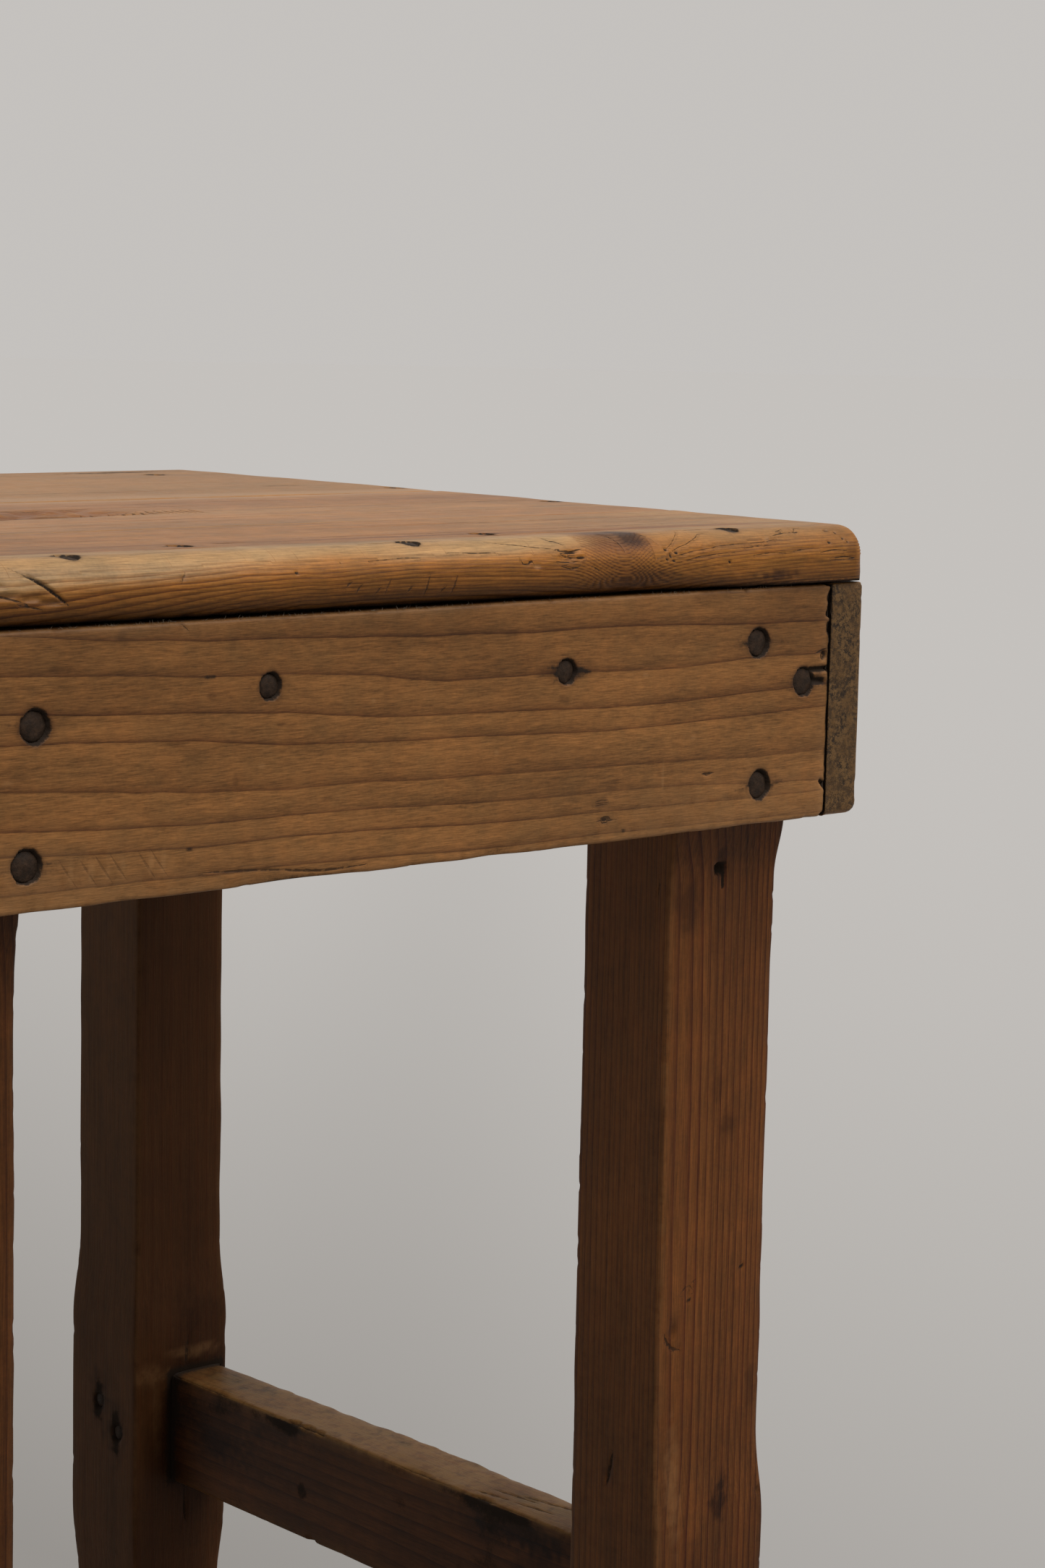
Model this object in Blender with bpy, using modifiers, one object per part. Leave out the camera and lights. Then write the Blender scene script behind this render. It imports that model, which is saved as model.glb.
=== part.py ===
"""A high pine stool: a nosed plank seat on nailed aprons, shaped legs and two levels of tenoned rails.

Metres, +Z up. The front is at -Y, and the origin lies on the floor under the seat's centre.
"""

from math import copysign, cos, pi

import bmesh
import bpy
from mathutils import Vector

# The whole stool
stool_width = 0.354  # over the two side aprons
stool_depth = 0.344  # over the front and back aprons
stool_height = 0.740  # floor to seat top
fit_gap = 0.0003  # left between pieces that touch
cut_overrun = 0.002  # how far a cutter stands out of the piece it cuts

# The seat
seat_thickness = 0.0167
seat_overhang = 0.0015  # how far the nosings stand out past the front and back aprons
front_board_width = 0.080
back_board_width = 0.152
board_gap = 0.0005
nosing_top_round = 0.0095
nosing_bottom_round = 0.0060
board_end_round = 0.0040
board_corner_round = 0.0070
board_arris_round = 0.0010
round_segments = 4

# The aprons
apron_height = 0.070
apron_thickness = 0.015
apron_round = 0.0012

# The legs: each is a blank that is thinned between its joints
front_leg_width = 0.047
front_leg_depth = 0.039
back_leg_width = 0.042
back_leg_depth = 0.040
leg_relief = 0.0018  # how much each face is thinned
leg_round = 0.0012
apron_flare = 0.020  # length over which the leg thins below the aprons
rail_flare = 0.032  # length over which it thickens towards a rail
block_reach = 0.035  # from a rail's centre line to the end of the full section
flare_steps = 3

# The rails
rail_height = 0.041
rail_thickness = 0.023
rail_inset = 0.0030  # from the leg's outer face to the rail's
rail_round = 0.0015
tenon_shoulder = 0.0060
tenon_length = 0.028
side_rail_top = 0.4145
foot_rail_top = 0.2100

# The battens under the seat
batten_width = 0.040
batten_height = 0.034
batten_round = 0.0010
left_batten_x = -0.0487
right_batten_x = 0.0554

# The nails, each kind with its head, its shank and its grip, the length in the piece behind
apron_nail = {"head_radius": 0.0040, "head_thickness": 0.0012, "shank_radius": 0.0015, "grip": 0.025}
batten_nail = {"head_radius": 0.00325, "head_thickness": 0.0011, "shank_radius": 0.0013, "grip": 0.025}
seat_nail = {"head_radius": 0.0030, "head_thickness": 0.0010, "shank_radius": 0.0012, "grip": 0.021}
rail_nail = {"head_radius": 0.0026, "head_thickness": 0.0010, "shank_radius": 0.0011, "grip": 0.009}
nail_tip = 0.004
nail_head_round = 0.0004
nail_sink = 0.0005  # how far a head is driven below the wood
nail_sides = 10

# Apron nails, as shares of the leg's width from its outer face and of the apron's height from its top
front_right_nail_shares = [(0.64, 0.23), (0.22, 0.41), (0.60, 0.83)]
front_left_nail_shares = [(0.86, 0.34), (0.81, 0.83), (0.24, 0.42)]
back_nail_shares = [(0.60, 0.24), (0.45, 0.80)]
side_nail_shares = [(0.82, 0.29), (0.24, 0.66)]
batten_nail_shares = {"left": 0.26, "right": 0.29}
# Seat nails along the front, as shares of half the stool's width from its centre line
front_seat_nail_shares = [-0.605, 0.017, 0.703]
# Seat nails at the sides, as a share of each board's width from its front edge
side_seat_nail_shares = {"middle": 0.46, "back": 0.11}
# Seat nails into the battens, as a share of the batten's width from its middle, and in from its front end
batten_seat_nail_share = -0.32
batten_seat_nail_inset = 0.007
# Rail nails, as shares of the tenon's length from the shoulder and of the rail's height from its top
front_leg_rail_nail_shares = [(0.45, 0.45)]
back_leg_rail_nail_shares = [(0.80, 0.31), (0.40, 0.54)]
foot_rail_nail_shares = [(0.50, 0.50)]

# Sizes that follow from those above
half_width = stool_width / 2
half_depth = stool_depth / 2
seat_underside = stool_height - seat_thickness
apron_top = seat_underside - fit_gap
apron_bottom = apron_top - apron_height
inner_x = half_width - apron_thickness - fit_gap  # the legs' outer faces
inner_y = half_depth - apron_thickness - fit_gap
seat_half_depth = half_depth + seat_overhang
tenon_height = rail_height - 2 * tenon_shoulder
tenon_thickness = rail_thickness - 2 * tenon_shoulder
front_joint = front_board_width - seat_half_depth
back_joint = seat_half_depth - back_board_width

PINE = {
    "seat_pine": ((0.46, 0.27, 0.14, 1), 0.48, 0.0),
    "apron_pine": ((0.27, 0.155, 0.075, 1), 0.58, 0.0),
    "leg_pine": ((0.22, 0.105, 0.048, 1), 0.55, 0.0),
    "rail_pine": ((0.17, 0.090, 0.042, 1), 0.58, 0.0),
    "batten_pine": ((0.34, 0.21, 0.11, 1), 0.66, 0.0),
    "nail_iron": ((0.055, 0.040, 0.032, 1), 0.62, 0.75),
}


def clear_scene():
    for obj in list(bpy.data.objects):
        bpy.data.objects.remove(obj, do_unlink=True)


def new_collection(name):
    collection = bpy.data.collections.new(name)
    bpy.context.scene.collection.children.link(collection)
    return collection


def new_material(name, color, roughness, metallic):
    material = bpy.data.materials.new(name)
    material.use_nodes = True
    shader = material.node_tree.nodes["Principled BSDF"]
    shader.inputs["Base Color"].default_value = color
    shader.inputs["Roughness"].default_value = roughness
    shader.inputs["Metallic"].default_value = metallic
    material.diffuse_color = color
    return material


def add_object(name, mesh, location, material=None):
    """Puts a mesh in the stool's collection, or in the cutters' where it has no material."""
    obj = bpy.data.objects.new(name, mesh)
    obj.location = location
    if material is None:
        cutters.objects.link(obj)
        obj.hide_render = True
        obj.display_type = "WIRE"
    else:
        stool.objects.link(obj)
        mesh.materials.clear()
        mesh.materials.append(materials[material])
    return obj


def add_box(name, low, high, material=None):
    """A closed box between two corners, with its origin at its centre."""
    low, high = Vector(low), Vector(high)
    mesh = bpy.data.meshes.new(name)
    bm = bmesh.new()
    bmesh.ops.create_cube(bm, size=1)
    bmesh.ops.scale(bm, vec=high - low, verts=bm.verts)
    bm.to_mesh(mesh)
    bm.free()
    return add_object(name, mesh, (low + high) / 2, material)


def add_turned(name, profile, place, outward, material=None):
    """A turned solid on an axis that points outward, from a profile listed from its outer end inwards."""
    mesh = bpy.data.meshes.new(name)
    points = [(radius, 0, height) for radius, height in profile]
    mesh.from_pydata(points, [(i, i + 1) for i in range(len(points) - 1)], [])
    obj = add_object(name, mesh, place, material)
    obj.rotation_euler = Vector(outward).to_track_quat("Z", "Y").to_euler()
    screw = obj.modifiers.new("turn", "SCREW")
    screw.angle = 2 * pi
    screw.steps = nail_sides
    screw.render_steps = nail_sides
    screw.use_merge_vertices = True
    screw.merge_threshold = fit_gap / 10
    return obj


def round_edges(obj, width, segments=1):
    bevel = obj.modifiers.new("rounding", "BEVEL")
    bevel.width = width
    bevel.segments = segments
    bevel.limit_method = "ANGLE"


def cut(obj, cutter):
    boolean = obj.modifiers.new(cutter.name, "BOOLEAN")
    boolean.operation = "DIFFERENCE"
    boolean.object = cutter


def join(obj, other):
    boolean = obj.modifiers.new(other.name, "BOOLEAN")
    boolean.operation = "UNION"
    boolean.object = other


def drive_nail(name, kind, place, outward, cover, pieces):
    """A nail sunk at a place on a face, through a cover of some thickness, and its bore in each piece."""
    head, shank = kind["head_radius"], kind["shank_radius"]
    neck, end = kind["head_thickness"], cover + kind["grip"] - nail_sink
    outward = Vector(outward)
    sunk = Vector(place) - outward * nail_sink
    nail_profile = [
        (0, 0),
        (head - nail_head_round, 0),
        (head, -nail_head_round),
        (head, -neck),
        (shank, -neck),
        (shank, nail_tip - end),
        (0, -end),
    ]
    bore_profile = [
        (0, nail_sink + cut_overrun),
        (head + fit_gap, nail_sink + cut_overrun),
        (head + fit_gap, -neck - fit_gap),
        (shank + fit_gap, -neck - fit_gap),
        (shank + fit_gap, nail_tip - end - fit_gap),
        (0, -end - fit_gap),
    ]
    nail = add_turned(name, nail_profile, sunk, outward, "nail_iron")
    bore = add_turned(name + "_bore", bore_profile, sunk, outward)
    for piece in pieces:
        cut(piece, bore)
    return nail


def relief_share(height, blocks):
    """How far the leg is thinned at a height, from 0 inside a block to 1 past its flare."""
    share = 1.0
    for low, high, flare in blocks:
        past = max(low - height, height - high, 0) / flare
        share = min(share, (1 - cos(pi * min(past, 1))) / 2)
    return share


def add_leg(name, side_x, side_y, width, depth):
    """A leg: a chamfered blank thinned on all faces between the aprons, the rails' joints and the floor."""
    x_faces = sorted((side_x * inner_x, side_x * (inner_x - width)))
    y_faces = sorted((side_y * inner_y, side_y * (inner_y - depth)))
    leg = add_box(name, (x_faces[0], y_faces[0], 0), (x_faces[1], y_faces[1], apron_top), "leg_pine")
    blocks = [(apron_bottom, apron_top, apron_flare)]
    for rail_top in (side_rail_top, foot_rail_top):
        middle = rail_top - rail_height / 2
        blocks.append((middle - block_reach, middle + block_reach, rail_flare))
    rings = {leg_round}
    for low, high, flare in blocks:
        for step in range(flare_steps + 1):
            rings.add(low - flare * step / flare_steps)
            rings.add(high + flare * step / flare_steps)
    bm = bmesh.new()
    bm.from_mesh(leg.data)
    arrises = [edge for edge in bm.edges if abs(edge.verts[0].co.z - edge.verts[1].co.z) > leg_round]
    bmesh.ops.bevel(bm, geom=arrises, offset=leg_round, segments=1, affect="EDGES")
    for height in sorted(rings):
        everything = bm.verts[:] + bm.edges[:] + bm.faces[:]
        level = (0, 0, height - leg.location.z)
        bmesh.ops.bisect_plane(bm, geom=everything, plane_co=level, plane_no=(0, 0, 1))
    for vert in bm.verts:
        height = vert.co.z + leg.location.z
        thinning = leg_relief * relief_share(height, blocks) + max(leg_round - height, 0)
        vert.co.x -= copysign(thinning, vert.co.x)
        vert.co.y -= copysign(thinning, vert.co.y)
    bm.to_mesh(leg.data)
    bm.free()
    return leg


def add_apron(name, low, high):
    apron = add_box(name, (*low, apron_bottom), (*high, apron_top), "apron_pine")
    round_edges(apron, apron_round)
    return apron


def add_rail(name, along, shoulders, across, top, legs):
    """A rail with a tenon at each end, along axis 0 or 1, and the mortises that its two legs need."""
    section_low, section_high = min(across), max(across)
    bottom = top - rail_height

    def corners(start, end, shrink):
        low = [section_low + shrink, section_low + shrink, bottom + shrink]
        high = [section_high - shrink, section_high - shrink, top - shrink]
        low[along], high[along] = start, end
        return low, high

    start, end = shoulders[0] + fit_gap, shoulders[1] - fit_gap
    rail = add_box(name, *corners(start, end, 0), "rail_pine")
    round_edges(rail, rail_round)
    tenons = add_box(name + "_tenons", *corners(start - tenon_length, end + tenon_length, tenon_shoulder))
    join(rail, tenons)
    mortises = (
        (shoulders[0] - tenon_length, shoulders[0] + cut_overrun),
        (shoulders[1] - cut_overrun, shoulders[1] + tenon_length),
    )
    for leg, (low, high) in zip(legs, mortises):
        cut(leg, add_box(f"{leg.name}_{name}_mortise", *corners(low, high, tenon_shoulder - fit_gap)))
    return rail


def add_seat_board(name, front, back, nosed_side):
    """A seat board between two y places, nosed at the front (-1), the back (1) or neither (0)."""
    low = (-half_width, front, seat_underside)
    high = (half_width, back, stool_height)
    board = add_box(name, low, high, "seat_pine")
    bm = bmesh.new()
    bm.from_mesh(board.data)
    weights = bm.edges.layers.float.new("bevel_weight_edge")
    for edge in bm.edges:
        middle = (edge.verts[0].co + edge.verts[1].co) / 2
        run = edge.verts[0].co - edge.verts[1].co
        on_top = middle.z > 0
        on_nosing = nosed_side and middle.y * nosed_side > 0
        if abs(run.x) > 0:
            nose = nosing_top_round if on_top else nosing_bottom_round
            size = nose if on_nosing else board_arris_round
        elif abs(run.y) > 0:
            size = board_end_round if on_top else board_arris_round
        else:
            size = board_corner_round if on_nosing else board_arris_round
        edge[weights] = size / nosing_top_round
    bm.to_mesh(board.data)
    bm.free()
    bevel = board.modifiers.new("rounding", "BEVEL")
    bevel.width = nosing_top_round
    bevel.segments = round_segments
    bevel.limit_method = "WEIGHT"
    return board


def make_aprons():
    """The side aprons run the whole depth and cover the ends of the front and back aprons."""
    shoulder_x, inner_face_y = half_width - apron_thickness, half_depth - apron_thickness
    end_x = shoulder_x - fit_gap
    return {
        "front": add_apron("front_apron", (-end_x, -half_depth), (end_x, -inner_face_y)),
        "back": add_apron("back_apron", (-end_x, inner_face_y), (end_x, half_depth)),
        "left": add_apron("left_apron", (-half_width, -half_depth), (-shoulder_x, half_depth)),
        "right": add_apron("right_apron", (shoulder_x, -half_depth), (half_width, half_depth)),
    }


def make_legs():
    return {
        ("front", "left"): add_leg("front_left_leg", -1, -1, front_leg_width, front_leg_depth),
        ("front", "right"): add_leg("front_right_leg", 1, -1, front_leg_width, front_leg_depth),
        ("back", "left"): add_leg("back_left_leg", -1, 1, back_leg_width, back_leg_depth),
        ("back", "right"): add_leg("back_right_leg", 1, 1, back_leg_width, back_leg_depth),
    }


def make_rails(legs):
    """Two side rails at mid height, and two foot rails lower down where the tenons don't meet."""
    rails = {}
    outer_x, outer_y = inner_x - rail_inset, inner_y - rail_inset
    side_shoulders = (front_leg_depth - inner_y, inner_y - back_leg_depth)
    for side, sign in (("left", -1), ("right", 1)):
        across = (sign * outer_x, sign * (outer_x - rail_thickness))
        pair = [legs["front", side], legs["back", side]]
        rails[side] = add_rail(side + "_side_rail", 1, side_shoulders, across, side_rail_top, pair)
    for side, sign, width in (("front", -1, front_leg_width), ("back", 1, back_leg_width)):
        across = (sign * outer_y, sign * (outer_y - rail_thickness))
        pair = [legs[side, "left"], legs[side, "right"]]
        shoulders = (width - inner_x, inner_x - width)
        rails[side] = add_rail(side + "_foot_rail", 0, shoulders, across, foot_rail_top, pair)
    return rails


def make_battens():
    """Two battens that carry the middle of the seat, butted between the front and back aprons."""
    battens = {}
    for side, x in (("left", left_batten_x), ("right", right_batten_x)):
        low = (x - batten_width / 2, -inner_y, apron_top - batten_height)
        high = (x + batten_width / 2, inner_y, apron_top)
        battens[side] = add_box(side + "_batten", low, high, "batten_pine")
        round_edges(battens[side], batten_round)
    return battens


def make_seat():
    return {
        "front": add_seat_board("front_seat_board", -seat_half_depth, front_joint, -1),
        "middle": add_seat_board("middle_seat_board", front_joint + board_gap, back_joint - board_gap, 0),
        "back": add_seat_board("back_seat_board", back_joint, seat_half_depth, 1),
    }


def drive_apron_nails(aprons, legs, battens):
    """Nails through the aprons into the legs and the battens' ends."""
    cases = (
        ("front", -1, front_leg_width, (front_left_nail_shares, front_right_nail_shares)),
        ("back", 1, back_leg_width, (back_nail_shares, back_nail_shares)),
    )
    for face, side_y, leg_width, shares in cases:
        place_y, outward = side_y * half_depth, (0, side_y, 0)
        for side, side_x, side_shares in (("left", -1, shares[0]), ("right", 1, shares[1])):
            for number, (share_in, share_down) in enumerate(side_shares, 1):
                place_x = side_x * (inner_x - share_in * leg_width)
                place = (place_x, place_y, apron_top - share_down * apron_height)
                pieces = [aprons[face], legs[face, side]]
                name = f"{face}_apron_{side}_nail_{number}"
                drive_nail(name, apron_nail, place, outward, apron_thickness, pieces)
        for side, x in (("left", left_batten_x), ("right", right_batten_x)):
            place = (x, place_y, apron_top - batten_nail_shares[side] * apron_height)
            name = f"{face}_apron_batten_nail_{side}"
            drive_nail(name, batten_nail, place, outward, apron_thickness, [aprons[face], battens[side]])
    for side, side_x in (("left", -1), ("right", 1)):
        for face, side_y, leg_depth in (("front", -1, front_leg_depth), ("back", 1, back_leg_depth)):
            for number, (share_in, share_down) in enumerate(side_nail_shares, 1):
                place_y = side_y * (inner_y - share_in * leg_depth)
                place = (side_x * half_width, place_y, apron_top - share_down * apron_height)
                name = f"{side}_apron_{face}_nail_{number}"
                pieces = [aprons[side], legs[face, side]]
                drive_nail(name, apron_nail, place, (side_x, 0, 0), apron_thickness, pieces)


def drive_rail_nails(rails, legs):
    """Nails from the legs' inner faces into the rails' tenons."""
    to_tenon = rail_inset + tenon_shoulder + tenon_thickness
    for side, side_x in (("left", -1), ("right", 1)):
        cases = (
            ("front", -1, front_leg_width, front_leg_depth, front_leg_rail_nail_shares),
            ("back", 1, back_leg_width, back_leg_depth, back_leg_rail_nail_shares),
        )
        for face, side_y, leg_width, leg_depth, shares in cases:
            for number, (share_in, share_down) in enumerate(shares, 1):
                place_y = side_y * (inner_y - leg_depth + share_in * tenon_length)
                place = (side_x * (inner_x - leg_width), place_y, side_rail_top - share_down * rail_height)
                name = f"{side}_side_rail_{face}_nail_{number}"
                cover = leg_width - to_tenon
                drive_nail(name, rail_nail, place, (-side_x, 0, 0), cover, [legs[face, side], rails[side]])
    cases = (("front", -1, front_leg_width, front_leg_depth), ("back", 1, back_leg_width, back_leg_depth))
    for face, side_y, leg_width, leg_depth in cases:
        for side, side_x in (("left", -1), ("right", 1)):
            for share_in, share_down in foot_rail_nail_shares:
                place_x = side_x * (inner_x - leg_width + share_in * tenon_length)
                place = (place_x, side_y * (inner_y - leg_depth), foot_rail_top - share_down * rail_height)
                name = f"{face}_foot_rail_{side}_nail"
                cover = leg_depth - to_tenon
                drive_nail(name, rail_nail, place, (0, -side_y, 0), cover, [legs[face, side], rails[face]])


def drive_seat_nails(seat, aprons, legs, battens):
    """Nails down through the seat boards into the aprons' top edges, the battens and the back legs."""
    row_x, row_y = half_width - apron_thickness / 2, half_depth - apron_thickness / 2

    def drive_down(name, x, y, board, piece):
        drive_nail(name, seat_nail, (x, y, stool_height), (0, 0, 1), seat_thickness, [seat[board], piece])

    for number, share in enumerate(front_seat_nail_shares, 1):
        drive_down(f"front_seat_nail_{number}", share * half_width, -row_y, "front", aprons["front"])
    for side, x in (("left", left_batten_x), ("right", right_batten_x)):
        nail_x = x + batten_seat_nail_share * batten_width
        nail_y = batten_seat_nail_inset - inner_y
        drive_down(f"{side}_batten_seat_nail", nail_x, nail_y, "front", battens[side])
    board_starts = {"middle": front_joint, "back": back_joint}
    board_widths = {"middle": back_joint - front_joint, "back": back_board_width}
    for side, side_x in (("left", -1), ("right", 1)):
        leg_x, leg_y = side_x * (inner_x - back_leg_width / 2), inner_y - back_leg_depth / 2
        drive_down(f"{side}_leg_seat_nail", leg_x, leg_y, "back", legs["back", side])
        for board, share in side_seat_nail_shares.items():
            nail_y = board_starts[board] + share * board_widths[board]
            drive_down(f"{side}_seat_nail_{board}", side_x * row_x, nail_y, board, aprons[side])


clear_scene()
stool = new_collection("high_stool")
cutters = new_collection("cutters")
materials = {name: new_material(name, *values) for name, values in PINE.items()}
stool_aprons = make_aprons()
stool_legs = make_legs()
stool_rails = make_rails(stool_legs)
stool_battens = make_battens()
stool_seat = make_seat()
drive_apron_nails(stool_aprons, stool_legs, stool_battens)
drive_rail_nails(stool_rails, stool_legs)
drive_seat_nails(stool_seat, stool_aprons, stool_legs, stool_battens)
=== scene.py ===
"""The looks of a high pine stool: worn boards, legs and rails, hand-driven nails, and a plain pale studio."""

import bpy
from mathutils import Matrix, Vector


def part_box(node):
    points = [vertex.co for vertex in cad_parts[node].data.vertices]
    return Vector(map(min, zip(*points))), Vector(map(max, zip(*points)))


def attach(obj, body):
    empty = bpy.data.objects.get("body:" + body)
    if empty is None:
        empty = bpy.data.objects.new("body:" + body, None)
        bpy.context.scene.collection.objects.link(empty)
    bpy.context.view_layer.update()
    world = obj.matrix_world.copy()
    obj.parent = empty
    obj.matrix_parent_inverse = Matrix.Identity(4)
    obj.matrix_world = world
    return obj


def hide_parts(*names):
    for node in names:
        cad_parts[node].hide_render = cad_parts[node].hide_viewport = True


bl_info = {
    "name": "High Pine Stool",
    "version": (1, 0, 0),
    "blender": (4, 5, 0),
    "location": "3D View > Sidebar > Stool",
    "description": "Makes the worn wood, the nails and the studio of a high pine stool",
    "category": "Object",
}

from itertools import product
from math import pi, radians

import bpy
import numpy as np
from bpy.props import FloatProperty, FloatVectorProperty, IntProperty, PointerProperty
from bpy.types import Operator, Panel, PropertyGroup
from mathutils import Matrix, Vector

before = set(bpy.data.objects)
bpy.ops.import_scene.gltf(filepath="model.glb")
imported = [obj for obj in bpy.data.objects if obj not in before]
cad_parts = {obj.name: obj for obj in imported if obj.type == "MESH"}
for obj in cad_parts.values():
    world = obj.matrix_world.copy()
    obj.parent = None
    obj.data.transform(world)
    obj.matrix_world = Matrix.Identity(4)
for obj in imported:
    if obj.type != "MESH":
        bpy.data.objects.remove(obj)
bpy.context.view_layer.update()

MM = 0.001
FRONT_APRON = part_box("front_apron")
FRONT_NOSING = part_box("front_seat_board")[0].y
RIGHT_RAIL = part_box("right_side_rail")
FOOT_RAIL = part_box("front_foot_rail")
SEAT_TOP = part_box("middle_seat_board")[1].z

# Places on the front are given in millimetres from the right top corner of the front apron's face
CORNER = Vector((FRONT_APRON[1].x, FRONT_APRON[0].y, FRONT_APRON[1].z))
NOSING_CORNER = Vector((CORNER.x, FRONT_NOSING, CORNER.z))
# The roundings over and under the seat's nosings, in millimetres
NOSING_TOP_ROUND, NOSING_LOW_ROUND = 9.5, 6.0

# The nails that share a size and a look, by the words in their nodes' names
NAIL_KINDS = {
    "apron_nails": ("apron_left_nail", "apron_right_nail", "apron_front_nail", "apron_back_nail"),
    "batten_nails": ("apron_batten_nail",),
    "seat_nails": ("seat_nail",),
    "rail_nails": ("rail_front_nail", "rail_back_nail", "rail_left_nail", "rail_right_nail"),
}


def at(x, y, z):
    """A place in metres from one given in millimetres from the front apron's right top corner."""
    return CORNER + Vector((x, y, z)) * MM


def from_corner(places, corner=CORNER):
    """How far places lie across, behind and above a corner, in millimetres."""
    return ((places - np.array(corner)) / MM).T


class StoolFinish(PropertyGroup):
    """Colours of the wood, the iron and the studio."""

    def colour(name, description, value):
        """A colour that the panel shows."""
        return FloatVectorProperty(
            name=name, description=description, subtype="COLOR", size=3, min=0, max=1, default=value
        )

    nosing: colour("Nosing", "Orange-brown wood of the seat's rounded front", (0.262, 0.103, 0.017))
    sapwood: colour("Sapwood", "Pale outer wood along the seat's front edge", (0.272, 0.166, 0.073))
    heartwood: colour("Heartwood", "Pinkish wood of the seat's top", (0.252, 0.112, 0.033))
    seat_line: colour("Seat Growth Line", "Dark line of a growth ring in the seat", (0.112, 0.034, 0.006))
    seat_back: colour("Back Board", "Tan wood of the seat's back board", (0.235, 0.112, 0.034))
    knot: colour("Knot", "Red-brown wood in and around a knot", (0.108, 0.027, 0.004))
    apron: colour("Apron", "Early wood of the aprons", (0.186, 0.081, 0.0240))
    apron_line: colour("Apron Growth Line", "Dark line of a growth ring in the aprons", (0.064, 0.022, 0.006))
    leg: colour("Leg", "Early wood of the front right leg", (0.112, 0.038, 0.0085))
    leg_line: colour("Leg Growth Line", "Dark line of a growth ring in the front legs", (0.050, 0.012, 0.003))
    leg_dull: colour("Dull Leg", "Early wood of the other legs", (0.060, 0.025, 0.008))
    rail: colour("Rail", "Early wood of the rails", (0.070, 0.024, 0.006))
    rail_line: colour("Rail Growth Line", "Dark line of a growth ring in the rails", (0.024, 0.008, 0.003))
    rail_worn: colour("Worn Rail", "Top of the rails, rubbed by feet", (0.205, 0.112, 0.036))
    batten: colour("Batten", "Unfinished wood under the seat", (0.24, 0.130, 0.060))
    end_grain: colour("End Grain", "Sawn ends, where dirt has settled", (0.136, 0.073, 0.026))
    worn: colour("Worn Wood", "Bare wood where hands and feet have rubbed", (0.300, 0.155, 0.062))
    # Painted shade as well as old dirt: the dark colour of hollows, gaps, nail rims and the shade under and
    # between parts
    grime_and_shade: colour("Grime", "Old dirt in cracks, pits and corners", (0.012, 0.007, 0.004))
    iron: colour("Nail Iron", "Oxidised nail heads", (0.017, 0.010, 0.006))
    fibre: colour("Gap Fibre", "Lint and wood fibre caught under the seat", (0.17, 0.13, 0.09))
    backdrop: colour("Backdrop", "Pale studio far from the stool", (0.556, 0.536, 0.516))
    # Painted shadow: the floor's colour where it is dimmest beside the stool
    floor_shadow: colour("Near Floor", "Floor on the dim side of the stool", (0.295, 0.283, 0.270))
    floor_far: colour("Far Floor", "Pale floor far from the stool", (0.540, 0.526, 0.516))


class StoolWear(PropertyGroup):
    """Sizes of the wear on the wood."""

    arris_wear: FloatProperty(
        name="Arris Wear", description="How deep the edges are rubbed down", unit="LENGTH", default=0.6 * MM
    )
    waviness: FloatProperty(
        name="Waviness", description="How far planed faces stray from flat", unit="LENGTH", default=0.22 * MM
    )
    pit_depth: FloatProperty(
        name="Nail Pit Depth", description="How deep nails crush the wood", unit="LENGTH", default=1.7 * MM
    )
    seed: IntProperty(name="Seed", description="Number that all uneven wear starts from", default=3)


class StoolNails(PropertyGroup):
    """Sizes of the nails' uneven heads."""

    sides: IntProperty(name="Sides", description="Sides of a nail's shank and head", default=22, min=8)
    dome: FloatProperty(name="Dome", description="How far a head bulges", unit="LENGTH", default=0.45 * MM)
    dent: FloatProperty(name="Dents", description="How uneven a head is", unit="LENGTH", default=1.0 * MM)
    fibres: IntProperty(name="Fibres", description="Fibres caught in the gap under the seat", default=640)
    fibre_length: FloatProperty(
        name="Fibre Length", description="Longest fibre in the gap", unit="LENGTH", default=1.1 * MM
    )


class StoolStudio(PropertyGroup):
    """The studio's light and the camera."""

    lens: FloatProperty(name="Lens", description="Focal length in millimetres", default=79.776)
    key: FloatProperty(name="Key Light", description="Strength of the soft light from above", default=3.85)
    key_spread: FloatProperty(
        name="Key Spread", description="Angle that the soft light fills", subtype="ANGLE", default=radians(62)
    )
    fill: FloatProperty(name="Fill Light", description="Light from all round", default=0.30)
    floor_radius: FloatProperty(
        name="Floor Radius", description="Radius of the floor", unit="LENGTH", default=40.0
    )
    floor_light: FloatProperty(name="Floor Light", description="Light on the open floor", default=1.34)


# Uneven wear

NOISE_VALUES = np.random.default_rng(11).uniform(-1.0, 1.0, 65536)
NOISE_STRIDES = np.array((73856093, 19349663, 83492791))
NOISE_ORIGIN = 512.0


def noise(places, cell, seed=0.0):
    """Smooth noise from -1 to 1 at places, in cells of one size or of a size along each axis."""
    scaled = places / np.asarray(cell) + NOISE_ORIGIN + seed * pi * 7
    corner = np.floor(scaled).astype(np.int64)
    part = scaled - corner
    part = part * part * (3 - 2 * part)
    total = np.zeros(len(scaled))
    for step in product((0, 1), repeat=3):
        weight = np.prod(np.where(np.array(step) == 1, part, 1 - part), axis=1)
        total += weight * NOISE_VALUES[((corner + step) * NOISE_STRIDES).sum(axis=1) % len(NOISE_VALUES)]
    return total


def smooth(values, low, high):
    """A smooth step from 0 at low to 1 at high."""
    share = np.clip((values - low) / (high - low), 0, 1)
    return share * share * (3 - 2 * share)


# The ways that marked faces look: the nosing's, which suits the front too, the seat's top, and a leg's left
FACING = np.array((0.0, -0.8, 0.6))
UPWARD, LEFTWARD = (0, 0, 1), (-1, 0, 0)


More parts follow.
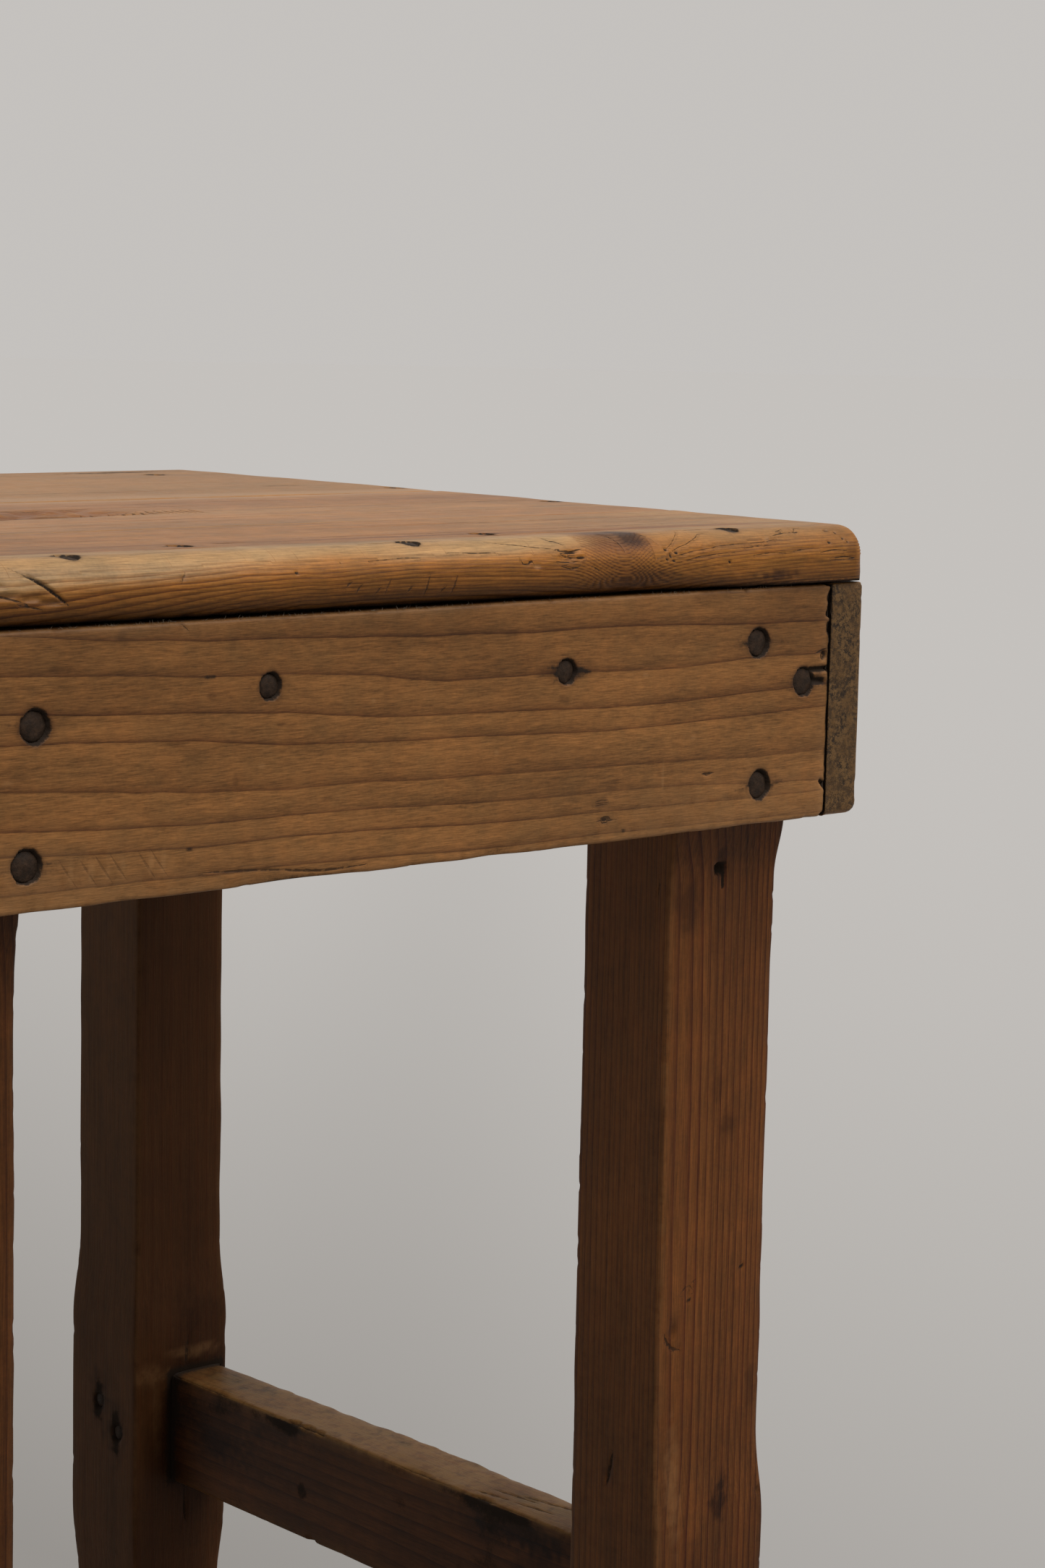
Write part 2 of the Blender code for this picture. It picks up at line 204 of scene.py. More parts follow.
def path_distance(places, path, outward=FACING):
    """For each place: its distance to a path of points, how far along the path it lies, and on which side."""
    path = np.array([tuple(point) for point in path])
    lengths = np.linalg.norm(np.diff(path, axis=0), axis=1)
    best, along, side = np.full(len(places), np.inf), np.zeros(len(places)), np.ones(len(places))
    done = 0.0
    for start, end, length in zip(path[:-1], path[1:], lengths):
        share = np.clip(((places - start) @ (end - start)) / length**2, 0, 1)
        offset = places - (start + share[:, None] * (end - start))
        distance = np.linalg.norm(offset, axis=1)
        nearer = distance < best
        best[nearer] = distance[nearer]
        along[nearer] = (done + share * length)[nearer]
        side[nearer] = np.where(offset @ np.cross(outward, end - start) > 0, 1.0, -1.0)[nearer]
        done += length
    return best, along / done, side


def steps_between(start, end, step, fine=(), fine_step=None):
    """Places from start to end, a step apart, and closer within the fine ranges."""
    places = [start]
    while places[-1] < end:
        here = places[-1]
        inside = any(low - step <= here <= high for low, high in fine)
        places.append(here + (fine_step if inside else step))
    places = np.array(places)
    return start + (places - start) * (end - start) / (places[-1] - start)


def shares(count, crowd=0.0):
    """Shares of a side at which its inner points lie, crowded towards its end (to 1) or its start (to -1)."""
    even = np.linspace(0, 1, count + 1)[1:-1]
    return even + crowd * even * (1 - even)


# What the crack and nail fields say far from any crack or nail
FAR_CRACK, FAR_NAIL = 9.0, 4.0


# The wood

# What a finish reads at each place: growth rings, dirt and painted shade, rubbed wood and painted light, a
# second tone, knots, soft darkening from stains and painted shade, sawn ends, the signed distance to a crack and
# how near it is, and the distance to a nail in its radii
OPEN_FIELDS = ("ring", "crack", "nail")
FIELDS = (*OPEN_FIELDS, "grime_and_shade", "wear", "tone", "knot", "stain", "end", "crack_near")


class Wood:
    """A bar of wood as arrays: where its skin is, how deep it is worn, and what its finish reads."""

    def __init__(self, node, axis, step, sides, edge, end_edges=None, fine=(), fine_step=None, cap_rings=10,
                 corners=None, arcs=(4, 4, 4, 4), tenon=None, seed=0):
        self.node, self.axis, self.seed = node, axis, seed
        low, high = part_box(node)
        self.low, self.high = np.array(low), np.array(high)
        self.cross = ((axis + 1) % 3, (axis + 2) % 3)
        self.corners = corners or (edge,) * 4
        self.end_edges = end_edges or (edge,) * 4
        self.sides, self.arcs = sides, arcs
        self.places = self.stations(step, fine, fine_step, tenon)
        self.build(cap_rings, tenon)
        count = len(self.skin)
        self.depth = np.zeros(count)
        self.fields = {name: np.zeros(count) for name in FIELDS}
        self.fields["crack"] += FAR_CRACK
        self.fields["nail"] += FAR_NAIL
        self.mark_ends()

    def stations(self, step, fine, fine_step, tenon):
        """The places of the rings along the bar, close together where its ends are rounded."""
        start, end = self.low[self.axis], self.high[self.axis]
        rounding = max(self.end_edges)
        turn = rounding * (1 - np.cos(np.linspace(0, pi / 2, 7)))
        if tenon:
            start, end = tenon["from"], tenon["to"]
        middle = steps_between(start + rounding, end - rounding, step, fine, fine_step)
        return np.concatenate((start + turn[:-1], middle, (end - turn[:-1])[::-1]))

    def build(self, cap_rings, tenon):
        """The skin's points as rings round the bar, with rings that close in on each end's middle."""
        start, end = self.places[0], self.places[-1]
        gap = np.minimum(self.places - start, end - self.places)
        a, b = self.cross
        low_b, high_a, high_b, low_a = (
            size - np.sqrt(np.maximum(size**2 - np.maximum(size - gap, 0) ** 2, 0))
            for size in self.end_edges
        )
        bounds = [self.low[a] + low_a, self.high[a] - high_a, self.low[b] + low_b, self.high[b] - high_b]
        pairs = ((high_a, low_b), (high_a, high_b), (low_a, high_b), (low_a, low_b))
        corners = [
            np.interp(self.places, *size) if isinstance(size, tuple) else size for size in self.corners
        ]
        radii = [np.maximum(size - np.maximum(*pair), size * 0.2) for size, pair in zip(corners, pairs)]
        rings = self.section(*bounds, radii)
        places = self.places
        if tenon:
            reach, slim = tenon["reach"], tenon["slim"]
            tips = [np.full(1, value) for value in (
                self.low[a] + slim, self.high[a] - slim, self.low[b] + slim, self.high[b] - slim)]
            tip = self.section(*tips, [np.full(1, 0.5 * MM)] * 4)
            rings = np.concatenate((tip, tip, rings, tip, tip))
            places = np.concatenate(((start - reach, start), places, (end, end + reach)))
        count = rings.shape[1]
        shape = np.empty((len(places), count, 3))
        shape[..., self.axis] = places[:, None]
        shape[..., a], shape[..., b] = rings[..., 0], rings[..., 1]
        caps = []
        for edge in (shape[0], shape[-1]):
            middle = edge.mean(axis=0)
            share = 1 - np.arange(1, cap_rings)[:, None, None] / cap_rings
            caps.append(middle + (edge - middle) * share)
        first, last = caps[0][::-1], caps[1]
        tube = np.concatenate((first, shape, last)).reshape(-1, 3)
        ends = np.array((shape[0].mean(axis=0), shape[-1].mean(axis=0)))
        self.skin = np.concatenate((tube, ends))
        rows = len(tube) // count
        index = np.arange(rows * count).reshape(rows, count)
        after = np.roll(index, -1, axis=1)
        quads = np.stack((index[:-1], after[:-1], after[1:], index[1:]), axis=-1).reshape(-1, 4)
        head, tail = rows * count, rows * count + 1
        start_fan = [(head, int(after[0, i]), int(index[0, i])) for i in range(count)]
        end_fan = [(tail, int(index[-1, i]), int(after[-1, i])) for i in range(count)]
        self.faces = quads.tolist() + start_fan + end_fan

    def section(self, a0, a1, b0, b1, radii):
        """Rings of a rounded rectangle, anticlockwise from the corner at high a and low b."""
        r0, r1, r2, r3 = radii
        centres = ((a1 - r0, b0 + r0), (a1 - r1, b1 - r1), (a0 + r2, b1 - r2), (a0 + r3, b0 + r3))
        points = []
        for number, (centre, radius) in enumerate(zip(centres, radii)):
            turn = pi / 2 * (number - 1)
            for angle in np.linspace(turn, turn + pi / 2, self.arcs[number] + 1):
                points.append((centre[0] + radius * np.cos(angle), centre[1] + radius * np.sin(angle)))
            start = points[-1]
            following, size = centres[(number + 1) % 4], radii[(number + 1) % 4]
            finish = following[0] + size * np.cos(turn + pi / 2), following[1] + size * np.sin(turn + pi / 2)
            for share in self.sides[number]:
                points.append(tuple(s + (f - s) * share for s, f in zip(start, finish)))
        return np.stack([np.stack(point, axis=-1) for point in points], axis=1)

    def mark_ends(self):
        """Splits the skin's place into how near an edge, an end and each face it lies."""
        inward = np.minimum(self.skin - self.low, self.high - self.skin)
        ordered = np.sort(inward, axis=1)
        self.edge_distance = ordered[:, 1]
        self.end_distance = inward[:, self.axis]
        self.fields["end"] = 1 - smooth(self.end_distance, 0.1 * MM, 0.9 * MM)

    def wave(self, amount, cell_along=0.07, cell_across=0.018):
        """Uneven planing, long along the grain."""
        cells = [cell_across] * 3
        cells[self.axis] = cell_along
        self.depth += amount * (0.5 + 0.5 * noise(self.skin, cells, self.seed))

    def keep_flat(self, distance, reach=0.6 * MM):
        """Takes the wear so far off the face that the distance is measured from."""
        self.depth *= smooth(distance, 0, reach)

    def rub_edges(self, amount, width=1.6 * MM, cell=0.014):
        """Edges rubbed down unevenly, with small dents along them."""
        near = np.exp(-self.edge_distance / width)
        long_wear = np.clip(0.55 + 0.6 * noise(self.skin, cell, self.seed + 1), 0, 1.3)
        nicks = np.clip(noise(self.skin, cell / 4, self.seed + 2) - 0.35, 0, 1) * 1.6
        self.depth += amount * near * (long_wear + nicks)
        self.fields["wear"] += np.clip(near * (0.25 + 0.9 * long_wear - 0.6 * nicks), 0, 1)
        self.fields["grime_and_shade"] += 0.5 * near * nicks

    def groove(self, path, width, depth, grime_and_shade=1.0, taper=True, ragged=0.25):
        """A crack or scratch along a path of places, narrowing to its ends."""
        distance, share, _ = path_distance(self.skin, path)
        body = np.sin(pi * np.clip(share, 0.02, 0.98)) ** 0.6 if taper else 1.0
        size = width * body * (1 + ragged * noise(self.skin, 1.3 * MM, self.seed + 4)) + 1e-6
        self.depth += depth * np.exp(-((distance / size) ** 2)) * body
        self.fields["grime_and_shade"] += grime_and_shade * np.exp(-((distance / (1.15 * size)) ** 2))

    def crack(self, path, width, depth=0.25 * MM, strength=1.0, outward=FACING):
        """A crack finer than the mesh: its place is kept as a signed distance, which the finish draws dark as
        painted shade and dirt.
        """
        distance, share, side = path_distance(self.skin, path, outward)
        body = np.sin(pi * np.clip(share, 0.03, 0.97)) ** 0.5
        size = width * body * (1 + 0.3 * noise(self.skin, 1.5 * MM, self.seed + 4))
        reach = np.minimum(distance / size, FAR_CRACK)
        nearer = (reach < np.abs(self.fields["crack"])) & (distance < 1.6 * MM)
        self.fields["crack"][nearer] = (side * reach)[nearer]
        close = strength * (1 - smooth(distance, 0.5 * MM, 1.1 * MM))
        self.fields["crack_near"] = np.maximum(self.fields["crack_near"], close)
        self.depth += depth * body * np.exp(-((distance / (0.4 * MM)) ** 2))

    def stain(self, place, sizes, amount, field="grime_and_shade", ragged=0.35):
        """A soft uneven patch on one of the fields."""
        apart = (self.skin - np.array(place)) / (np.array(sizes) * MM)
        reach = np.linalg.norm(apart, axis=1) + ragged * noise(self.skin, 2.2 * MM, self.seed + 5)
        self.fields[field] += amount * (1 - smooth(reach, 0.35, 1.15))

    def dent(self, place, sizes, depth, grime_and_shade=0.0, wear=0.0):
        """A hollow of some reach along each axis."""
        apart = (self.skin - np.array(place)) / (np.array(sizes) * MM)
        reach = np.linalg.norm(apart, axis=1) + 0.18 * noise(self.skin, 1.6 * MM, self.seed + 6)
        shape = 1 - smooth(reach, 0.3, 1.1)
        self.depth += depth * shape
        self.fields["grime_and_shade"] += grime_and_shade * shape
        self.fields["wear"] += wear * shape

    def mark(self, spot, cracks=(), dents=(), stains=(), outward=FACING):
        """Marks from tables, whose places are the millimetres that spot takes."""
        for width, depth, strength, *path in cracks:
            self.crack([spot(*point) for point in path], width * MM, depth * MM, strength, outward)
        for place, sizes, depth, grime_and_shade, wear in dents:
            self.dent(spot(*place), sizes, depth * MM, grime_and_shade, wear)
        for place, sizes, amount, field in stains:
            self.stain(spot(*place), sizes, amount, field)

    def crush_nail(self, nail, pit_depth):
        """The ragged pit round a driven nail, torn along the grain, with a dark stain in it; the finish paints
        shade round its rim.
        """
        place, outward, radius = nail["place"], nail["outward"], nail["radius"]
        normal = int(np.argmax(np.abs(outward)))
        apart = self.skin - place
        close = np.abs(apart[:, normal]) < 4 * MM
        across = [i for i in range(3) if i not in (normal, self.axis)][0]
        along, over = apart[:, self.axis], apart[:, across]
        turn = np.arctan2(over, along)
        rim = np.stack((np.cos(turn), np.sin(turn), 0 * along), axis=1) + place * 40
        wobble = 1 + 0.05 * noise(rim, 0.55, self.seed) + 0.05 * noise(rim, 0.2, 1)
        reach = np.hypot(along, over) / radius / wobble
        pit = close * (1 - smooth(reach, 0.98, 1.10))
        self.depth = np.maximum(self.depth, pit_depth * pit)
        self.fields["nail"] = np.where(close, np.minimum(self.fields["nail"], reach), self.fields["nail"])
        streak = 1 - smooth(np.abs(along), 0.9 * radius, 4.2 * radius)
        streak *= np.exp(-np.abs(over) / (0.45 * radius))
        tear = close * np.clip(0.5 + noise(self.skin, (3 * MM, 1 * MM, 1 * MM), self.seed + 8), 0, 1)
        strength = nail.get("streak", 0.35)
        self.fields["grime_and_shade"] += 1.9 * strength * streak * tear
        self.fields["stain"] += close * (0.5 * (1 - smooth(reach, 1.0, 1.6)) + 0.9 * strength * streak)

    def finish(self, material, slot):
        """Makes the mesh, wears it down, stores what the finish reads, and stands it for its node."""
        mesh = bpy.data.meshes.new(self.node + "_wood")
        mesh.from_pydata(self.skin.tolist(), [], self.faces)
        normals = np.empty(len(self.skin) * 3, np.float32)
        mesh.vertices.foreach_get("normal", normals)
        worn = self.skin - normals.reshape(-1, 3) * self.depth[:, None]
        mesh.vertices.foreach_set("co", worn.astype(np.float32).ravel())
        for name, values in self.fields.items():
            limit = values if name in OPEN_FIELDS else np.clip(values, 0, 1)
            mesh.attributes.new(name, "FLOAT", "POINT").data.foreach_set("value", limit.astype(np.float32))
        mesh.shade_smooth()
        mesh.update()
        mesh.materials.append(material)
        obj = bpy.data.objects.new(self.node + "_wood", mesh)
        bpy.context.scene.collection.objects.link(obj)
        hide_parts(self.node)
        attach(obj, "root")
        return obj


def nails_in(*words):
    """The nails whose node names hold one of some words, each with its place, direction and head radius."""
    found = []
    for node in sorted(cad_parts):
        if not node.endswith("nail") and "_nail_" not in node or not any(word in node for word in words):
            continue
        low, high = (np.array(corner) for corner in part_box(node))
        size = high - low
        axis = int(np.argmax(size))
        middle = (low + high) / 2
        side = np.sign(middle[axis]) if axis != 2 else 1
        if "rail" in node:
            side = -side
        place = middle.copy()
        place[axis] = high[axis] if side > 0 else low[axis]
        outward = np.zeros(3)
        outward[axis] = side
        found.append({
            "node": node, "place": place, "outward": outward, "length": size[axis],
            "radius": max(size[i] for i in range(3) if i != axis) / 2,
        })
    return found


def ring_round(skin, axis, pith, spacing, seed, wander=0.6, cell_along=0.12, cell_across=0.03):
    """Growth rings round a pith line along the grain, as how many rings out each place is."""
    a, b = [i for i in range(3) if i != axis]
    cells = [cell_across] * 3
    cells[axis] = cell_along
    reach = np.hypot(skin[:, a] - pith[0], skin[:, b] - pith[1]) / spacing
    return reach + wander * noise(skin, cells, seed)


# The finishes

class Nodes:
    """Adds nodes to a tree and links what they are given."""

    def __init__(self, tree):
        self.tree = tree
        self.tree.nodes.clear()

    def add(self, kind, inputs=None, **settings):
        """A new node with its settings, each input given a value or linked to a socket."""
        node = self.tree.nodes.new(kind)
        for name, value in settings.items():
            setattr(node, name, value)
        for name, value in (inputs or {}).items():
            self.feed(node.inputs[name], value)
        return node

    def feed(self, socket, value):
        if isinstance(value, bpy.types.NodeSocket):
            self.tree.links.new(value, socket)
        else:
            socket.default_value = value

    def math(self, operation, *values, clamp=False):
        node = self.tree.nodes.new("ShaderNodeMath")
        node.operation, node.use_clamp = operation, clamp
        for socket, value in zip(node.inputs, values):
            self.feed(socket, value)
        return node.outputs[0]

    def mix(self, share, first, second, blend="MIX"):
        node = self.tree.nodes.new("ShaderNodeMix")
        node.data_type, node.blend_type, node.clamp_factor = "RGBA", blend, True
        for socket, value in zip((node.inputs[0], node.inputs[6], node.inputs[7]), (share, first, second)):
            self.feed(socket, value)
        return node.outputs[2]

    def ramp(self, value, low, high, to_low=0.0, to_high=1.0):
        """A smooth step between two levels."""
        inputs = {"Value": value, "From Min": low, "From Max": high, "To Min": to_low, "To Max": to_high}
        return self.add("ShaderNodeMapRange", inputs, interpolation_type="SMOOTHSTEP").outputs["Result"]

    def noise(self, vector, scale, detail=3.0, roughness=0.55):
        inputs = {"Vector": vector, "Scale": scale, "Detail": detail, "Roughness": roughness}
        return self.add("ShaderNodeTexNoise", inputs).outputs["Fac"]

    def uneven(self, vector, scale, detail=3.0, roughness=0.55):
        """Noise round zero."""
        return self.math("SUBTRACT", self.noise(vector, scale, detail, roughness), 0.5)

    def grey(self, level):
        return self.add("ShaderNodeCombineColor", {"Red": level, "Green": level, "Blue": level}).outputs[0]


def new_group(name, inputs, outputs):
    """A shader node group with named sockets: its Nodes, its inputs' sockets and its output node."""
    group = bpy.data.node_groups.new(name, "ShaderNodeTree")
    nodes = Nodes(group)
    for socket, (kind, value) in inputs.items():
        made = group.interface.new_socket(socket, in_out="INPUT", socket_type="NodeSocket" + kind)
        if value is not None:
            made.default_value = value
    for socket, kind in outputs.items():
        group.interface.new_socket(socket, in_out="OUTPUT", socket_type="NodeSocket" + kind)
    entry = nodes.add("NodeGroupInput")
    return group, nodes, entry.outputs, nodes.add("NodeGroupOutput")


def grain_group():
    """Growth lines, fibres and mottling of pine."""
    group, n, given, out = new_group("pine_grain", {
        "Fibre Place": ("Vector", None), "Place": ("Vector", None), "Ring": ("Float", 0.0),
        "Early": ("Color", None), "Late": ("Color", None), "Line Width": ("Float", 0.1),
        "Line Strength": ("Float", 0.8), "Shade Ramp": ("Float", 0.3), "Mottle": ("Float", 0.3),
        "Fibre": ("Float", 0.3), "Ring Wander": ("Float", 0.05),
    }, {"Color": "Color", "Height": "Float"})
    wander = n.uneven(given["Fibre Place"], 90, 4)
    ring = n.math("MULTIPLY_ADD", wander, given["Ring Wander"], given["Ring"])
    share, number = n.math("FRACT", ring), n.math("FLOOR", ring)
    own = n.add("ShaderNodeTexWhiteNoise", {"W": number}, noise_dimensions="1D").outputs["Value"]
    rest = n.math("SUBTRACT", 1.0, share)
    from_line = n.math("MULTIPLY", n.math("DIVIDE", rest, given["Line Width"]), -1.0)
    soft_side = n.math("POWER", 2.718, from_line)
    sharp_side = n.math("POWER", 2.718, n.math("MULTIPLY", share, -90.0))
    own_strength = n.math("MULTIPLY_ADD", own, 0.6, 0.55)
    line = n.math("MULTIPLY", n.math("MAXIMUM", soft_side, sharp_side), own_strength)
    line = n.math("MULTIPLY", line, n.ramp(n.noise(given["Fibre Place"], 40, 3), 0.3, 0.62, 0.5, 1.0))
    shade = n.math("MULTIPLY", n.math("POWER", share, 3.0), given["Shade Ramp"])
    dark = n.math("ADD", n.math("MULTIPLY", line, given["Line Strength"]), shade, clamp=True)
    colour = n.mix(dark, given["Early"], given["Late"])
    fibres = n.uneven(given["Fibre Place"], 2300, 2, 0.6)
    streaks = n.uneven(given["Fibre Place"], 420, 4, 0.7)
    bands = n.uneven(given["Fibre Place"], 75, 3, 0.6)
    flecks = n.uneven(given["Place"], 900, 2, 0.7)
    fine, broad = n.math("MULTIPLY_ADD", fibres, 1.6, streaks), n.math("MULTIPLY_ADD", flecks, 0.5, bands)
    level = n.math("MULTIPLY_ADD", n.math("ADD", fine, broad), given["Fibre"], 1.0)
    colour = n.mix(1.0, colour, n.grey(level), "MULTIPLY")
    blotch = n.noise(given["Place"], 110, 3, 0.6)
    patch = n.noise(given["Fibre Place"], 70, 3, 0.6)
    cloud = n.noise(given["Place"], 16, 2, 0.5)
    mottle = n.math("ADD", n.ramp(blotch, 0.3, 0.7, -1.2, 1.2), n.ramp(patch, 0.3, 0.7, -0.5, 0.5))
    warmth = {"Red": 0.085, "Green": 0.055, "Blue": 0.03}
    warm = n.add("ShaderNodeCombineColor", {
        part: n.math("MULTIPLY_ADD", mottle, strength, 1.0) for part, strength in warmth.items()}).outputs[0]
    colour = n.mix(given["Mottle"], colour, n.mix(1.0, colour, warm, "MULTIPLY"))
    depth = n.math("MULTIPLY", n.ramp(cloud, 0.3, 0.7, -0.11, 0.11), given["Mottle"])
    colour = n.mix(1.0, colour, n.grey(n.math("ADD", depth, 1.0)), "MULTIPLY")
    height = n.math("MULTIPLY_ADD", line, 0.4, n.math("ADD", fibres, streaks))
    n.feed(out.inputs["Color"], colour)
    n.feed(out.inputs["Height"], height)
    return group


def end_grain_group():
    """Speckled, dirty sawn ends."""
    group, n, given, out = new_group("end_grain", {
        "Color": ("Color", None), "End": ("Float", 0.0), "End Color": ("Color", None),
        "Dirt": ("Color", None), "Place": ("Vector", None), "Height": ("Float", 0.0),
    }, {"Color": "Color", "Height": "Float"})
    cells = n.noise(given["Place"], 560, 5, 0.9)
    clumps = n.noise(given["Place"], 150, 3, 0.6)
    dark = n.math("MULTIPLY", n.ramp(cells, 0.44, 0.56, 1.0, 0.0), n.ramp(clumps, 0.38, 0.62, 1.0, 0.6))
    olive = n.noise(given["Place"], 150, 2)
    base = n.mix(n.ramp(olive, 0.35, 0.65), given["End Color"], n.mix(
        1.0, given["End Color"], (0.80, 0.76, 0.70, 1.0), "MULTIPLY"))
    speckled = n.mix(n.math("MULTIPLY", dark, 0.95), base, given["Dirt"])
    share = n.ramp(given["End"], 0.25, 0.85)
    n.feed(out.inputs["Color"], n.mix(share, given["Color"], speckled))
    height = n.math("MULTIPLY_ADD", n.math("MULTIPLY", cells, 4.0), share, given["Height"])
    n.feed(out.inputs["Height"], height)
    return group


def wear_group():
    """Rubbed edges, then grime and painted shade in the hollows, over a colour."""
    group, n, given, out = new_group("wear_dirt_and_shade", {
        "Color": ("Color", None), "Place": ("Vector", None), "Stain": ("Float", 0.0), "Wear": ("Float", 0.0),
        "Worn Color": ("Color", None), "Grime": ("Float", 0.0), "Grime Color": ("Color", None),
        "Crack": ("Float", FAR_CRACK), "Crack Near": ("Float", 0.0), "Nail": ("Float", FAR_NAIL),
        "Roughness": ("Float", 0.5), "Height": ("Float", 0.0),
    }, {"Color": "Color", "Roughness": "Float", "Height": "Float"})
    breakup = n.noise(given["Place"], 240, 4, 0.65)
    fine = n.uneven(given["Place"], 700, 3, 0.7)
    # Soft darkening: stains, and painted shade where the stain field carries it
    soft = n.math("MULTIPLY", given["Stain"], n.math("MULTIPLY_ADD", fine, 0.5, 1.0), clamp=True)
    colour = n.mix(soft, given["Color"], n.mix(1.0, given["Color"], (0.20, 0.17, 0.15, 1.0), "MULTIPLY"))
    worn = n.math("MULTIPLY", given["Wear"], n.ramp(breakup, 0.3, 0.6, 0.35, 1.0))
    colour = n.mix(n.math("MULTIPLY", worn, 0.55), colour, given["Worn Color"])
    grimy_and_shaded = n.ramp(n.math("MULTIPLY_ADD", fine, 0.7, given["Grime"]), 0.12, 0.72)
    grimy_and_shaded = n.math("MULTIPLY", grimy_and_shaded, n.ramp(given["Grime"], 0.0, 0.08))
    # A crack is dark where its signed distance runs through zero, and a nail's rim where the nail is near:
    # painted shade, with dirt
    reach = n.math("MULTIPLY_ADD", fine, 0.8, n.math("ABSOLUTE", given["Crack"]))
    gaps = n.ramp(n.noise(given["Place"], 520, 2), 0.36, 0.5, 0.35, 0.9)
    split = n.math("MULTIPLY", n.ramp(reach, 0.6, 1.4, 1.0, 0.0), given["Crack Near"])
    split = n.math("MULTIPLY", split, gaps)
    ragged = n.math("MULTIPLY_ADD", fine, 0.30, given["Nail"])
    rim = n.ramp(ragged, 1.08, 1.22, 1.0, 0.0)
    hollow = n.math("MAXIMUM", n.math("MAXIMUM", grimy_and_shaded, split), rim)
    n.feed(out.inputs["Color"], n.mix(n.math("MULTIPLY", hollow, 0.96), colour, given["Grime Color"]))
    rough = n.math("MULTIPLY_ADD", hollow, 0.3, given["Roughness"])
    rough = n.math("MULTIPLY_ADD", n.math("SUBTRACT", breakup, 0.5), 0.16, rough)
    n.feed(out.inputs["Roughness"], n.math("MULTIPLY_ADD", worn, -0.06, rough, clamp=True))
    n.feed(out.inputs["Height"], n.math("MULTIPLY_ADD", n.math("MAXIMUM", split, rim), -1.2, given["Height"]))
    return group


def rgba(colour):
    """A colour with full alpha."""
    return (*colour, 1.0)


def new_material(name):
    """A new material, the Nodes of its tree, and the place that its textures are laid out by."""
    material = bpy.data.materials.new(name)
    material.use_nodes = True
    n = Nodes(material.node_tree)
    return material, n, n.add("ShaderNodeTexCoord").outputs["Object"]


def pine_material(name, axis, early, late, finish, line_width=0.1, line_strength=0.75, shade_ramp=0.35,
                  mottle=0.8, fibre=0.6, ring_wander=0.06, tones=(), roughness=0.5, relief=0.12 * MM,
                  fibre_stretch=16.0, shine=0.25, worn=None):
    """Worn pine whose fibres run along an axis, led through further tones by the tone field."""
    material, n, place = new_material(name)
    squeeze = [1.0, 1.0, 1.0]
    squeeze[axis] = 1 / fibre_stretch
    fibre_place = n.add("ShaderNodeVectorMath", {0: place, 1: squeeze}, operation="MULTIPLY").outputs[0]
    field = {key: n.add("ShaderNodeAttribute", attribute_name=key).outputs["Fac"] for key in FIELDS}
    shared = bpy.data.node_groups
    ground = rgba(early)
    for number, tone in enumerate(tones):
        low, high = number / len(tones), (number + 1) / len(tones)
        ground = n.mix(n.ramp(field["tone"], low, high), ground, rgba(tone))
    grain = n.add("ShaderNodeGroup", {
        "Fibre Place": fibre_place, "Place": place, "Ring": field["ring"], "Early": ground,
        "Late": rgba(late), "Line Width": line_width, "Line Strength": line_strength,
        "Shade Ramp": shade_ramp, "Mottle": mottle, "Fibre": fibre, "Ring Wander": ring_wander,
    }, node_tree=shared["pine_grain"]).outputs
    knotty = n.mix(0.4, rgba(finish.knot), grain["Color"])
    colour = n.mix(n.math("MULTIPLY", field["knot"], 0.9), grain["Color"], knotty)
    ends = n.add("ShaderNodeGroup", {
        "Color": colour, "End": field["end"], "End Color": rgba(finish.end_grain), "Dirt": rgba(finish.grime_and_shade),
        "Place": place, "Height": grain["Height"],
    }, node_tree=shared["end_grain"]).outputs
    last = n.add("ShaderNodeGroup", {
        "Color": ends["Color"], "Place": place, "Stain": field["stain"], "Wear": field["wear"],
        "Worn Color": rgba(worn or finish.worn), "Grime": field["grime_and_shade"], "Grime Color": rgba(finish.grime_and_shade),
        "Crack": field["crack"], "Crack Near": field["crack_near"], "Nail": field["nail"],
        "Roughness": roughness, "Height": ends["Height"],
    }, node_tree=shared["wear_dirt_and_shade"])
    bump = n.add("ShaderNodeBump", {"Height": last.outputs["Height"], "Distance": relief, "Strength": 0.8})
    shader = n.add("ShaderNodeBsdfPrincipled", {
        "Base Color": last.outputs["Color"], "Roughness": last.outputs["Roughness"],
        "Normal": bump.outputs[0], "Specular IOR Level": shine,
    })
    n.add("ShaderNodeOutputMaterial", {"Surface": shader.outputs[0]})
    return material


def iron_material(name, finish, shade):
    """Oxidised iron with rusty spots."""
    material, n, place = new_material(name)
    crust = n.noise(place, 420, 4, 0.65)
    spots = n.noise(place, 1500, 2, 0.6)
    rust = n.mix(n.ramp(crust, 0.35, 0.7), rgba(finish.iron), (0.038, 0.021, 0.012, 1.0))
    colour = n.mix(n.ramp(spots, 0.5, 0.75, 0.0, 0.6), rust, rgba(finish.grime_and_shade))
    colour = n.mix(shade, colour, rgba(finish.grime_and_shade))
    bump = n.add("ShaderNodeBump", {"Height": n.math("ADD", crust, spots), "Distance": 0.15 * MM})
    shader = n.add("ShaderNodeBsdfPrincipled", {
        "Base Color": colour, "Roughness": n.ramp(crust, 0.3, 0.7, 0.55, 0.75), "Normal": bump.outputs[0],
        "Specular IOR Level": 0.12})
    n.add("ShaderNodeOutputMaterial", {"Surface": shader.outputs[0]})
    return material


def fibre_material(finish):
    """Pale lint."""
    material, n, place = new_material("gap_lint")
    shade = n.ramp(n.noise(place, 800, 2), 0.3, 0.7)
    colour = n.mix(shade, rgba(finish.fibre), (0.07, 0.05, 0.035, 1.0))
    shader = n.add("ShaderNodeBsdfPrincipled", {"Base Color": colour, "Roughness": 0.9})
    n.add("ShaderNodeOutputMaterial", {"Surface": shader.outputs[0]})
    return material


def shared_groups():
    """Builds the node groups once for all finishes."""
    if "pine_grain" not in bpy.data.node_groups:
        grain_group()
        end_grain_group()
        wear_group()


